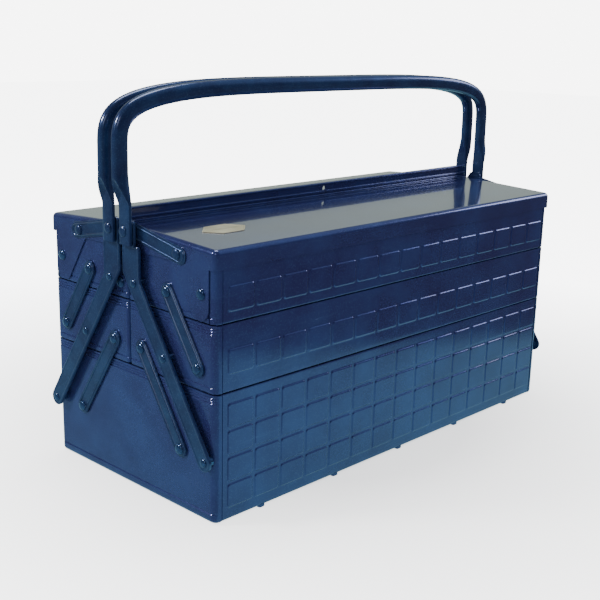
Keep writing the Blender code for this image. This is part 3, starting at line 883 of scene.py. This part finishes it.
def ear_line():
    """The lower edge of a lid's end, as (distance from the middle, height), from the inner end outwards."""
    down = -math.pi / 2
    toe, heel = EAR_TOE_RADIUS, EAR_HEEL_RADIUS
    bend = (EAR_INNER - EAR_FILLET * EAR_FILLET_SHIFT, LID_SKIRT_BOTTOM - EAR_FILLET)
    line = [(EAR_LINE_START, LID_SKIRT_BOTTOM), (EAR_LINE_MIDDLE, LID_SKIRT_BOTTOM)]
    line += arc(bend, EAR_FILLET, -down, EAR_SLANT, 5)
    line += arc((EAR_TOE_OUT, EAR_BOTTOM + toe), toe, EAR_SLANT - math.pi, down, 5)
    line += arc((EAR_OUTER - heel, EAR_BOTTOM + heel), heel, down, 0, 7)
    return line + [(EAR_OUTER + EAR_BACK_STEP, LID_SKIRT_BOTTOM)]


def lid_plan(half, outer):
    """Points along a lid's three skirts from the left inner end to the right: (point, normal, lower edge)."""
    radius = LID_CORNER
    quarter = math.pi / 2
    line = ear_line()
    points = [(Vector((-half, -out)), Vector((-1, 0)), height) for out, height in line]
    for x, start in ((-half + radius, 2 * quarter), (half - radius, 3 * quarter)):
        for step in range(CORNER_STEPS + 2):
            angle = start + quarter * step / (CORNER_STEPS + 1)
            normal = Vector((math.cos(angle), math.sin(angle)))
            points.append((Vector((x, outer + radius)) + normal * radius, normal, LID_SKIRT_BOTTOM))
    return points + [(Vector((half, -out)), Vector((1, 0)), height) for out, height in reversed(line)]


def lid_cap(name, half, outer, inner):
    """The front lid's sheet: skirts, ears, rolled edge and slope. outer is its most negative y."""
    bm = bmesh.new()
    plan = lid_plan(half, outer)
    rise = (LID_INNER_TOP - LID_EDGE_TOP) / (inner - outer)

    def slope_at(y):
        return LID_EDGE_TOP + (y - outer) * rise

    rings = [
        [bm.verts.new((p.x, p.y, height)) for p, _, height in plan],
        [bm.verts.new((p.x, p.y, LID_SKIRT_BOTTOM + LID_FOLD_RISE)) for p, _, _ in plan],
    ]
    for step in range(LID_TOP_STEPS + 1):
        angle = math.pi / 2 * step / LID_TOP_STEPS
        sink = LID_TOP_RADIUS * (1 - math.cos(angle))
        drop = LID_TOP_RADIUS * (1 - math.sin(angle))
        ring = []
        for point, normal, _ in plan:
            spot = point - normal * sink
            ring.append(bm.verts.new((spot.x, spot.y, slope_at(spot.y) - drop)))
        rings.append(ring)
    skin_between(bm, rings, closed=False)
    bm.faces.new(rings[-1])
    bmesh.ops.recalc_face_normals(bm, faces=bm.faces)
    if max(bm.faces, key=lambda face: face.calc_area()).normal.z < 0:
        bmesh.ops.reverse_faces(bm, faces=bm.faces)
    obj = linked(name, mesh_from(bm, name))
    wall = obj.modifiers.new("sheet", "SOLIDIFY")
    wall.thickness = LID_SHEET
    wall.offset = -1
    wall.use_even_offset = True
    return baked(obj)


def flange_profile():
    """The upstanding inner edge in section, as (distance from the middle, height): a roll and two beads."""
    face, web = FLANGE_FACE, FLANGE_FACE + 0.0009
    top = CAD_FLANGE_TOP
    quarter = math.pi / 2
    points = [(face, LID_INNER_TOP - 0.0008), (face, top - 0.0004), (face + 0.0003, top)]
    points += arc((web + 0.0005, top - 0.0010), 0.0010, quarter, -quarter, 6)
    points += [(web, top - 0.0021), (web, 0.2372)]
    points += arc((web - 0.0001, 0.2356), 0.0014, quarter, -quarter, 8)
    points += [(web, 0.2340), (web, 0.2334)]
    points += arc((web - 0.0001, 0.2322), 0.0012, quarter, -quarter * 0.4, 6)
    return points + [(web + 0.0018, LID_INNER_TOP - 0.0002), (web + 0.0018, LID_INNER_TOP - 0.0008)]


def flange_bar(name):
    """The flange as an extruded section along the front lid's inner edge, with its padlock hole."""
    bm = bmesh.new()
    ends = []
    for x in (-FLANGE_HALF_LENGTH, FLANGE_HALF_LENGTH):
        ends.append([bm.verts.new((x, -out, height)) for out, height in flange_profile()])
    capped_skin(bm, ends)
    bar = linked(name, mesh_from(bm, name))
    drill = bmesh.new()
    across = Matrix.Translation((0, 0, PADLOCK_HOLE_Z)) @ Matrix.Rotation(math.pi / 2, 4, "X")
    bmesh.ops.create_cone(
        drill,
        cap_ends=True,
        segments=DRILL_SEGMENTS,
        radius1=PADLOCK_HOLE_RADIUS,
        radius2=PADLOCK_HOLE_RADIUS,
        depth=DRILL_DEPTH,
        matrix=across,
    )
    cutter = linked(f"{name}_drill", mesh_from(drill, f"{name}_drill"))
    cut = bar.modifiers.new("padlock_hole", "BOOLEAN")
    cut.operation = "DIFFERENCE"
    cut.object = cutter
    result = baked(bar)
    bpy.data.objects.remove(cutter, do_unlink=True)
    return result


# ---------------------------------------------------------------- plates on the end walls


def end_point(out, height, layer, sign, end):
    return (end * (WALL_X + layer), sign * out, height)


def pressed_plate(bm, outline_at, profile, seat, sign, end):
    """A closed plate on an end wall. profile lists (distance in from the edge, layer height)."""
    rings = []
    for inwards, layer in [(0, seat)] + list(profile):
        outline = outline_at(inwards)
        rings.append([bm.verts.new(end_point(*point, layer, sign, end)) for point in outline])
    capped_skin(bm, rings)


def ribbed_profile(base, crest):
    """An edge, a flat margin, one raised line that follows the outline, and a flat middle."""
    return (
        (0.0000, base - 0.0003),
        (0.0003, base),
        (0.0013, base),
        (0.0017, base + (crest - base) * 0.7),
        (0.0022, crest),
        (0.0027, base + (crest - base) * 0.7),
        (0.0031, base),
        (0.0036, base),
    )


def pan_profile(crest):
    """A rounded edge and a face sunk by a little inside a narrow margin."""
    return (
        (0.0000, crest - 0.0009),
        (0.0003, crest - 0.0003),
        (0.0008, crest),
        (0.0016, crest),
        (0.0020, crest - 0.0003),
        (0.0026, crest - 0.0003),
    )


def layer_of(node):
    """(inner, outer) distance of a right-end node from the end wall."""
    low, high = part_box(node)
    return low.x - WALL_X, high.x - WALL_X


def pivot_of(node):
    """(distance from the middle plane, height) of a rivet's axis."""
    low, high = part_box(node)
    return abs(low.y + high.y) / 2, (low.z + high.z) / 2


PIVOTS = {
    name: pivot_of(f"front_left_{name}_rivet")
    for name in (
        "arm_tub",
        "arm_middle",
        "arm_top",
        "lower_link_tub",
        "lower_link_middle",
        "upper_link_middle",
        "upper_link_top",
        "lid_hinge",
    )
}
STRAP_ON_HANDLE = (0.0100, 0.2270)
STRAP_ON_LID = (0.0655, 0.2162)
BARS = (
    ("lower_link", PIVOTS["lower_link_tub"], PIVOTS["lower_link_middle"], (0.0, 0.0)),
    ("upper_link", PIVOTS["upper_link_middle"], PIVOTS["upper_link_top"], (0.0, 0.0)),
    ("strap", STRAP_ON_HANDLE, STRAP_ON_LID, (STRAP_INNER_OVERRUN, STRAP_OVERRUN)),
)


def arm_outline():
    """Round foot, straight slanting bar, upright head and a narrower tongue behind the handle leg."""
    foot_at, top_at = PIVOTS["arm_tub"], PIVOTS["arm_top"]
    slant = math.atan2(top_at[1] - foot_at[1], top_at[0] - foot_at[0])
    quarter = math.pi / 2
    foot = arc(foot_at, ARM_HALF_WIDTH, slant + quarter, slant + 3 * quarter, ROUND_END_STEPS)
    along = (math.cos(slant), math.sin(slant))

    def edge_height(offset, out):
        start = (foot_at[0] - offset * along[1], foot_at[1] + offset * along[0])
        return start[1] + (out - start[0]) * along[1] / along[0]

    inner_bend = (ARM_HEAD_INNER, edge_height(ARM_HALF_WIDTH, ARM_HEAD_INNER))
    outer_bend = (ARM_HEAD_OUTER, edge_height(-ARM_HALF_WIDTH, ARM_HEAD_OUTER))
    top = TONGUE_TOP - TONGUE_CORNER
    tongue = arc((TONGUE_OUTER - TONGUE_CORNER, top), TONGUE_CORNER, 0, quarter, 5)
    tongue += arc((TONGUE_INNER + TONGUE_CORNER, top), TONGUE_CORNER, quarter, math.pi, 5)
    shoulder = 0.003
    head = [outer_bend]
    head += arc((ARM_HEAD_OUTER - shoulder, ARM_SHOULDER_Z - shoulder), shoulder, 0, quarter, 4)
    head += [(TONGUE_OUTER, ARM_SHOULDER_Z)]
    foot_side = [(TONGUE_INNER, ARM_SHOULDER_Z), (ARM_HEAD_INNER, ARM_SHOULDER_Z - 0.001), inner_bend]
    return foot + head + tongue + foot_side


def make_arm(side, end_name):
    sign, end = SIDES[side], ENDS[end_name]
    node = f"{side}_{end_name}_arm"
    inner, outer = layer_of("front_right_arm")
    outline = arm_outline()
    bm = bmesh.new()
    seat = inner + ARM_STAND_OFF
    pressed_plate(bm, lambda inwards: inset(outline, inwards), pan_profile(outer), seat, sign, end)
    keep_piece(f"{node}_channel", mesh_from(bm, node), BAR_ENAMEL, f"{side}_arms", [node])


def make_bar(side, end_name, kind, low, high, overruns):
    """A link or a strap: a ribbed strip with round ends."""
    sign, end = SIDES[side], ENDS[end_name]
    node = f"{side}_{end_name}_{kind}"
    bm = bmesh.new()
    inner, outer = STRAP_LAYER if kind == "strap" else layer_of(f"front_right_{kind}")

    def outline_at(inwards):
        return stadium(low, high, LINK_HALF_WIDTH - inwards, *overruns)

    pressed_plate(bm, outline_at, ribbed_profile(outer - BAR_RIB_RISE, outer), inner, sign, end)
    mesh = mesh_from(bm, node)
    if kind == "strap":
        spots = [(high, outer - BAR_RIB_RISE, 1.0)]
        mesh = joined(node, mesh, rivet_heads(f"{node}_pin", spots, sign, [end], PIN_HEIGHT))
    keep_piece(f"{node}_bar", mesh, BAR_ENAMEL, f"{side}_{kind}s", [node])


def joined(name, *meshes):
    bm = bmesh.new()
    for mesh in meshes:
        bm.from_mesh(mesh)
    return mesh_from(bm, name)


# ---------------------------------------------------------------- rivets


def rivet_heads(name, spots, sign, ends, height=HEAD_HEIGHT):
    """Domed heads at (pivot, layer, size) on the given ends. A negative size is a clinched tail inside."""
    points, facings, sizes = [], [], []
    for pivot, layer, size in spots:
        for end in ends:
            points.append(end_point(*pivot, layer, sign, end))
            facings.append((end if size > 0 else -end, 0, 0))
            sizes.append((abs(size),) * 3)
    mesh = bpy.data.meshes.new(name)
    mesh.from_pydata(points, [], [])
    for label, values in (("facing", facings), ("size", sizes)):
        attribute = mesh.attributes.new(label, "FLOAT_VECTOR", "POINT")
        attribute.data.foreach_set("vector", [number for value in values for number in value])
    return grown(RIVET_TREE, mesh, {"Head Height": height, "Finish": RIVET_ENAMEL})


def make_rivets():
    """One group of rivets for each tray and one for the tub."""
    arm_face = layer_of("front_right_arm")[1] - ARM_HEAD_SINK
    link_face = layer_of("front_right_lower_link")[1] - LINK_HEAD_SINK
    inside = -SHEET - TAIL_SINK
    groups = {
        "middle_tray": (
            ("arm_middle", arm_face),
            ("lower_link_middle", link_face),
            ("upper_link_middle", link_face),
        ),
        "top_tray": (("arm_top", arm_face), ("upper_link_top", link_face), ("lid_hinge", CAD_LID_PROUD)),
    }
    tub_parts, tub_nodes = [], []
    for side, sign in SIDES.items():
        spots = [(PIVOTS["arm_tub"], arm_face, ARM_RIVET_SIZE), (PIVOTS["arm_tub"], SPACER, 1.0)]
        spots += [(PIVOTS["lower_link_tub"], link_face, 1.0)]
        spots += [(PIVOTS[name], inside, -TAIL_SIZE) for name in ("arm_tub", "lower_link_tub")]
        tub_parts.append(rivet_heads(f"{side}_tub_rivet_heads", spots, sign, ENDS.values()))
        for end_name in ENDS:
            tub_nodes += [f"{side}_{end_name}_{name}_rivet" for name in ("arm_tub", "lower_link_tub")]
        for body, rivets in groups.items():
            spots = [(PIVOTS[name], face, ARM_RIVET_SIZE if "arm" in name else 1.0) for name, face in rivets]
            spots += [(PIVOTS[name], SPACER, 1.0) for name, _ in rivets if "arm" in name]
            spots += [(PIVOTS[name], inside, -TAIL_SIZE) for name, _ in rivets]
            name = f"{side}_{body}_rivet_heads"
            mesh = rivet_heads(name, spots, sign, ENDS.values())
            nodes = [f"{side}_{end_name}_{rivet}_rivet" for rivet, _ in rivets for end_name in ENDS]
            if (side, body) == ("back", "top_tray"):
                stud = rivet_heads("stud_head", [(pivot_of("back_left_stud"), SEAT_SINK, 1.0)], 1, [-1])
                mesh = joined(name, mesh, stud)
                nodes.append("back_left_stud")
            keep_piece(name, mesh, RIVET_ENAMEL, f"{side}_{body}", nodes)
    mesh = joined("tub_rivet_heads", *tub_parts)
    keep_piece("tub_rivet_heads", mesh, RIVET_ENAMEL, "tub", tub_nodes)


# ---------------------------------------------------------------- lids, continued


def make_lid(side):
    """Made for the front, then turned half a turn for the back."""
    name = f"{side}_lid_cap"
    cap = lid_cap(name, LID_HIGH.x, LID_LOW.y, LID_HIGH.y)
    mesh = joined(name, cap, flange_bar(f"{side}_lid_flange"))
    if side == "back":
        mesh.transform(Matrix.Rotation(math.pi, 4, "Z"))
    keep_piece(name, mesh, LID_ENAMEL, f"{side}_lid", [f"{side}_lid"])


PLATE_CUT = 0.0118
PLATE_MARGIN = 0.0002
PLATE_SINK = 0.00005
PLATE_PROFILE = ((0, 0), (0, 0.0005), (0.0002, 0.0007), (0.0009, 0.0007), (0.0012, 0.0004), (0.0018, 0.0004))


def make_plate():
    """The blank plate: cut corners, a raised edge and a flat satin field, lying along the lid's slope."""
    low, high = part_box("blank_plate")
    slope = math.atan2(LID_INNER_TOP - LID_EDGE_TOP, LID_HIGH.y - LID_LOW.y)
    long, deep = (high.x - low.x) / 2, (high.y - low.y) / 2 / math.cos(slope) - PLATE_MARGIN
    quarter = [(long, deep - PLATE_CUT), (long - PLATE_CUT, deep)]
    outline = quarter + [(-x, y) for x, y in reversed(quarter)]
    outline += [(-x, -y) for x, y in quarter] + [(x, -y) for x, y in reversed(quarter)]
    bm = bmesh.new()
    rings = []
    for inwards, rise in PLATE_PROFILE:
        rings.append([bm.verts.new((*point, rise)) for point in inset(outline, inwards)])
    capped_skin(bm, rings)
    mesh = mesh_from(bm, "lid_plate")
    centre = (low + high) / 2
    height = LID_EDGE_TOP + (centre.y - LID_LOW.y) * math.tan(slope)
    place = Matrix.Translation((centre.x, centre.y, height - PLATE_SINK)) @ Matrix.Rotation(slope, 4, "X")
    mesh.transform(place)
    keep_piece("lid_plate", mesh, PLATE_METAL, "front_lid", ["blank_plate"])


# ---------------------------------------------------------------- bail handles

LEG_LAYER = (0.0075, 0.0117)
BAR_HALF_DEPTH = 0.0070
LEG_BOTTOM = 0.2158
LEG_CENTRE_Y = 0.0112
LEG_HALF_WIDTH = 0.0070
LEG_FLAT_TO = 0.248
LEG_ROUND_FROM = 0.274
BAR_CENTRE_Y = 0.0092
BAR_HALF_WIDTH = 0.0049
BEND_FROM = 0.2850
BEND_SQUARENESS = 4.35
BEND_STEPS = 36
SECTION_POINTS = 32
SCOOP_LOW = 0.2440
SCOOP_ARCH = 0.0120
SCOOP_LENGTH = 0.0160
FLAT_ROUNDNESS = 0.45
TUBE_ROUNDNESS = 0.85
FOOT_SIDE_ROUNDNESS = 0.62
SIDE_ROUNDNESS_GAIN = 0.23
FOOT_LIFTS = (0.0002, 0.0006)
FOOT_FROM, FOOT_STEP, FOOT_COUNT = 0.2190, 0.0022, 9
LEG_FROM, LEG_STEP, LEG_COUNT = 0.2385, 0.0016, 29


def eased(value, low, high):
    share = min(max((value - low) / (high - low), 0), 1)
    return share * share * (3 - 2 * share)


def rounded(value, power):
    return math.copysign(abs(value) ** power, value)


def leg_ring(height, sign, bar_layer):
    """A section of the left leg: a round tube pressed flat towards its foot, with a scooped front."""
    grow = eased(height, LEG_FLAT_TO, LEG_ROUND_FROM)
    centre_y = LEG_CENTRE_Y + (BAR_CENTRE_Y - LEG_CENTRE_Y) * grow
    half_width = LEG_HALF_WIDTH + (BAR_HALF_WIDTH - LEG_HALF_WIDTH) * grow
    flat_mid, flat_half = sum(LEG_LAYER) / 2, (LEG_LAYER[1] - LEG_LAYER[0]) / 2
    bar_mid, bar_half = sum(bar_layer) / 2, (bar_layer[1] - bar_layer[0]) / 2
    points = []
    for number in range(SECTION_POINTS):
        angle = 2 * math.pi * number / SECTION_POINTS
        cos, sin = math.cos(angle), math.sin(angle)
        start = SCOOP_LOW + SCOOP_ARCH * (1 - sin * sin)
        round_share = eased(height, start, start + SCOOP_LENGTH)
        flat = flat_mid + rounded(cos, FLAT_ROUNDNESS) * flat_half
        tube = bar_mid + rounded(cos, TUBE_ROUNDNESS) * bar_half
        layer = flat + (tube - flat) * round_share
        wide = rounded(sin, FOOT_SIDE_ROUNDNESS + SIDE_ROUNDNESS_GAIN * grow) * half_width
        points.append((-(WALL_X + layer), sign * centre_y + wide, height))
    return points


def bend_ring(centre, turn, sign, bar_half):
    """A section of the tube where its outward direction is turned up from -X."""
    points = []
    for number in range(SECTION_POINTS):
        angle = 2 * math.pi * number / SECTION_POINTS
        across = rounded(math.cos(angle), TUBE_ROUNDNESS) * bar_half
        wide = rounded(math.sin(angle), TUBE_ROUNDNESS) * BAR_HALF_WIDTH
        x, z = centre[0] - math.cos(turn) * across, centre[1] + math.sin(turn) * across
        points.append((x, sign * BAR_CENTRE_Y + wide, z))
    return points


def handle_rings(sign):
    """Sections from the left foot, up the leg and along the arched bar, and down to the right foot."""
    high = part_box("front_handle")[1]
    bar_layer = (high.x - 2 * BAR_HALF_DEPTH - WALL_X, high.x - WALL_X)
    bar_x, rise = high.x - BAR_HALF_DEPTH, high.z - BAR_HALF_DEPTH - BEND_FROM
    heights = [LEG_BOTTOM + lift for lift in FOOT_LIFTS]
    heights += [FOOT_FROM + FOOT_STEP * number for number in range(FOOT_COUNT)]
    heights += [LEG_FROM + LEG_STEP * number for number in range(LEG_COUNT)]
    rings = [leg_ring(height, sign, bar_layer) for height in heights]
    for step in range(BEND_STEPS + 1):
        angle = math.pi / 2 * step / BEND_STEPS
        across = abs(math.cos(angle)) ** (2 / BEND_SQUARENESS)
        up = math.sin(angle) ** (2 / BEND_SQUARENESS)
        turn = math.atan2(up ** (BEND_SQUARENESS - 1) / rise, across ** (BEND_SQUARENESS - 1) / bar_x)
        rings.append(bend_ring((-bar_x * across, BEND_FROM + rise * up), turn, sign, BAR_HALF_DEPTH))
    mirrored = [[(-x, y, z) for x, y, z in ring] for ring in reversed(rings[:-1])]
    return rings + mirrored


def make_handle(side):
    sign = SIDES[side]
    bm = bmesh.new()
    rings = [[bm.verts.new(point) for point in ring] for ring in handle_rings(sign)]
    capped_skin(bm, rings)
    name = f"{side}_handle_bail"
    spots = [(STRAP_ON_HANDLE, LEG_LAYER[1] - SEAT_SINK, 1.0)]
    heads = rivet_heads(f"{side}_handle_pins", spots, sign, ENDS.values(), PIN_HEIGHT)
    mesh = joined(name, mesh_from(bm, name), heads)
    keep_piece(name, mesh, BAR_ENAMEL, f"{side}_arms", [f"{side}_handle"])


make_tub()
for side in SIDES:
    make_tray(side, "middle")
    make_tray(side, "top")
    make_lid(side)
    make_handle(side)
    for end_name in ENDS:
        make_arm(side, end_name)
        for bar in BARS:
            make_bar(side, end_name, *bar)
make_rivets()
make_plate()


# ---------------------------------------------------------------- stage, lights and camera

# Emission strength of the floor, for its glow to the camera and for its painted reflection in glossy rays.
FLOOR_GLOW = 6.0
BACKDROP_GLOW = 7.0
# Painted reflection: the blue-green the floor glows with in glossy rays only, standing in for a lit sheet
# mirrored in the enamel.
PAINTED_REFLECTION_SHEET = (0.047, 0.100, 0.116, 1)
SHEET_TURN = math.radians(28.1)
SHEET_EDGE_AT = (0.1446, -0.394, 0)
# Painted reflection: the near-black the floor glows with in glossy rays beyond the sheet's edge and past the
# left end.
PAINTED_DARK_REFLECTION = (0.012, 0.011, 0.016, 1)
WINDOW_SEEN = (0.22, 0.30, 0.48, 1)
WINDOW_TOWARDS = (0.756, -0.252, 0.605)
WINDOW_EDGE = (0.78, 0.97)
SHEET_EDGE_HALF = 0.035
# Where the painted dark reflection starts at the left end and further out.
END_REFLECTION = (-0.235, -0.240, 0.0, 0.50)
FAR_REFLECTION = (-0.24, -0.60, 0.0, 0.35)
# Painted shade: the floor's glow to the camera falls to a quarter near the chest, a grey pool round it.
PAINTED_FLOOR_SHADE = (0.15, 0.75, 0.25, 1.0)
FLOOR_SIZE = 6
FLOOR_ROUGHNESS = 0.8
CLEAN_FLOOR = (0.86, 0.87, 0.87, 1)
BLACK = (0, 0, 0, 1)
WHITE = (1, 1, 1, 1)
ROOM_DIM = (0.030, 0.028, 0.055, 1)
ROOM_WALL = (0.46, 0.53, 0.46, 1)
ROOM_LIGHT = (0.42, 0.45, 0.50, 1)
WALL_SIDEWAYS = (0.3, 1.2)
WALL_UPWARDS = (0.75, 0.25)
LAMP_TARGET = (0, 0, 0.15)
LAMPS = (
    ("overhead", (0.15, 0.25, 1.6), (0.9, 0.6), 10, (1, 1, 1)),
    ("left_back", (-1.3, 0.70, 1.15), (0.28, 0.28), 16, (1, 1, 1)),
    ("front_left", (-1.5, -0.9, 1.3), (0.7, 0.7), 3, (1, 1, 1)),
    ("right_end", (1.3, -0.47, 0.80), (0.45, 0.35), 2.5, (0.75, 0.78, 1.0)),
)
CAMERA_TURN = (-46.2314, 14.6282, 1.3474)
CAMERA_TARGET = Vector((-0.0294, 0, 0.1311))
CAMERA_DISTANCE = 0.998
CAMERA_LENS = 61.26
CAMERA_SENSOR = 36
CAMERA_NEAR = 0.01


def make_floor():
    """A pale table that glows white to the camera, with painted shade dimming the glow round the chest. In
    the enamel's reflections it glows as a blue-green sheet with dark beyond it past the chest, a painted
    reflection.
    """
    bm = bmesh.new()
    bmesh.ops.create_grid(bm, x_segments=1, y_segments=1, size=FLOOR_SIZE)
    floor = linked("floor", mesh_from(bm, "floor"))
    material = bpy.data.materials.new("table_with_painted_light")
    material.use_nodes = True
    tree = material.node_tree
    shader = tree.nodes["Principled BSDF"]
    where = tree.nodes.new("ShaderNodeTexCoord").outputs["Object"]
    turned = tree.nodes.new("ShaderNodeMapping")
    turned.vector_type = "TEXTURE"
    turned.inputs["Location"].default_value = SHEET_EDGE_AT
    turned.inputs["Rotation"].default_value = (0, 0, SHEET_TURN)
    wire(tree, where, turned.inputs["Vector"])
    split = tree.nodes.new("ShaderNodeSeparateXYZ")
    wire(tree, turned.outputs["Vector"], split.inputs["Vector"])
    # Masks for the painted dark reflection: past the sheet's edge and past the left end.
    beyond = spread(tree, split.outputs["Y"], SHEET_EDGE_HALF, -SHEET_EDGE_HALF)
    away = tree.nodes.new("ShaderNodeSeparateXYZ")
    wire(tree, where, away.inputs["Vector"])
    at_end = spread(tree, away.outputs["X"], *END_REFLECTION)
    past_end = maths(tree, "ADD", at_end, spread(tree, away.outputs["X"], *FAR_REFLECTION))
    dark_reflection_mask = maths(tree, "MAXIMUM", beyond, past_end)
    # Painted reflection: the glowing sheet and its dark surround, seen by glossy rays only.
    sheet = mixed(tree, dark_reflection_mask, PAINTED_REFLECTION_SHEET, PAINTED_DARK_REFLECTION)
    path = tree.nodes.new("ShaderNodeLightPath")
    reach = tree.nodes.new("ShaderNodeVectorMath")
    reach.operation = "LENGTH"
    wire(tree, where, reach.inputs[0])
    # Painted shade: the glow to the camera dims towards the chest.
    painted_shade_falloff = spread(tree, reach.outputs["Value"], *PAINTED_FLOOR_SHADE)
    seen = mixed(tree, path.outputs["Is Camera Ray"], BLACK, WHITE)
    pale = mixed(tree, painted_shade_falloff, BLACK, seen)
    # Emission: white with painted shade to the camera, painted reflection to glossy rays.
    wire(tree, mixed(tree, path.outputs["Is Glossy Ray"], pale, sheet), shader.inputs["Emission Color"])
    shader.inputs["Emission Strength"].default_value = FLOOR_GLOW
    base = mixed(tree, path.outputs["Is Glossy Ray"], CLEAN_FLOOR, BLACK)
    wire(tree, base, shader.inputs["Base Color"])
    shader.inputs["Roughness"].default_value = FLOOR_ROUGHNESS
    shader.inputs["Specular IOR Level"].default_value = 0.0
    floor.data.materials.append(material)


def make_world():
    """White to the camera, soft grey as light, and a dim room with a pale far wall in reflections."""
    world = bpy.data.worlds.new("studio")
    bpy.context.scene.world = world
    world.use_nodes = True
    tree = world.node_tree
    background = tree.nodes["Background"]
    direction = tree.nodes.new("ShaderNodeTexCoord").outputs["Generated"]
    split = tree.nodes.new("ShaderNodeSeparateXYZ")
    wire(tree, direction, split.inputs["Vector"])
    far = maths(tree, "ADD", split.outputs["X"], split.outputs["Y"])
    sideways = spread(tree, far, *WALL_SIDEWAYS)
    wall = maths(tree, "MULTIPLY", sideways, spread(tree, split.outputs["Z"], *WALL_UPWARDS))
    room = mixed(tree, wall, ROOM_DIM, ROOM_WALL)
    towards = tree.nodes.new("ShaderNodeVectorMath")
    towards.operation = "DOT_PRODUCT"
    wire(tree, direction, towards.inputs[0])
    towards.inputs[1].default_value = WINDOW_TOWARDS
    room = mixed(tree, spread(tree, towards.outputs["Value"], *WINDOW_EDGE), room, WINDOW_SEEN)
    path = tree.nodes.new("ShaderNodeLightPath")
    lit = mixed(tree, path.outputs["Is Glossy Ray"], ROOM_LIGHT, room)
    wire(tree, mixed(tree, path.outputs["Is Camera Ray"], lit, WHITE), background.inputs["Color"])
    bright = spread(tree, path.outputs["Is Camera Ray"], 0.0, 1.0, 1.0, BACKDROP_GLOW)
    wire(tree, bright, background.inputs["Strength"])


def add_softbox(name, location, size, power, tint):
    light = bpy.data.lights.new(name, "AREA")
    light.shape = "RECTANGLE"
    light.size, light.size_y = size
    light.energy = power
    light.color = tint
    lamp = bpy.data.objects.new(name, light)
    bpy.context.scene.collection.objects.link(lamp)
    lamp.location = location
    lamp.rotation_euler = (Vector(LAMP_TARGET) - Vector(location)).to_track_quat("-Z", "Y").to_euler()


def make_camera():
    """Looks down on the front left corner."""
    azimuth, elevation, roll = (math.radians(angle) for angle in CAMERA_TURN)
    back = Vector(
        (
            math.sin(azimuth) * math.cos(elevation),
            -math.cos(azimuth) * math.cos(elevation),
            math.sin(elevation),
        )
    )
    level = Vector((0, 0, 1)).cross(back).normalized()
    upright = back.cross(level)
    right = level * math.cos(roll) + upright * math.sin(roll)
    up = upright * math.cos(roll) - level * math.sin(roll)
    camera = bpy.data.objects.new("camera", bpy.data.cameras.new("camera"))
    bpy.context.scene.collection.objects.link(camera)
    camera.data.lens = CAMERA_LENS
    camera.data.sensor_width = CAMERA_SENSOR
    camera.data.clip_start = CAMERA_NEAR
    turn = Matrix((right, up, back)).transposed()
    camera.matrix_world = Matrix.Translation(CAMERA_TARGET + back * CAMERA_DISTANCE) @ turn.to_4x4()
    bpy.context.scene.camera = camera


make_floor()
make_world()
for lamp in LAMPS:
    add_softbox(*lamp)
make_camera()
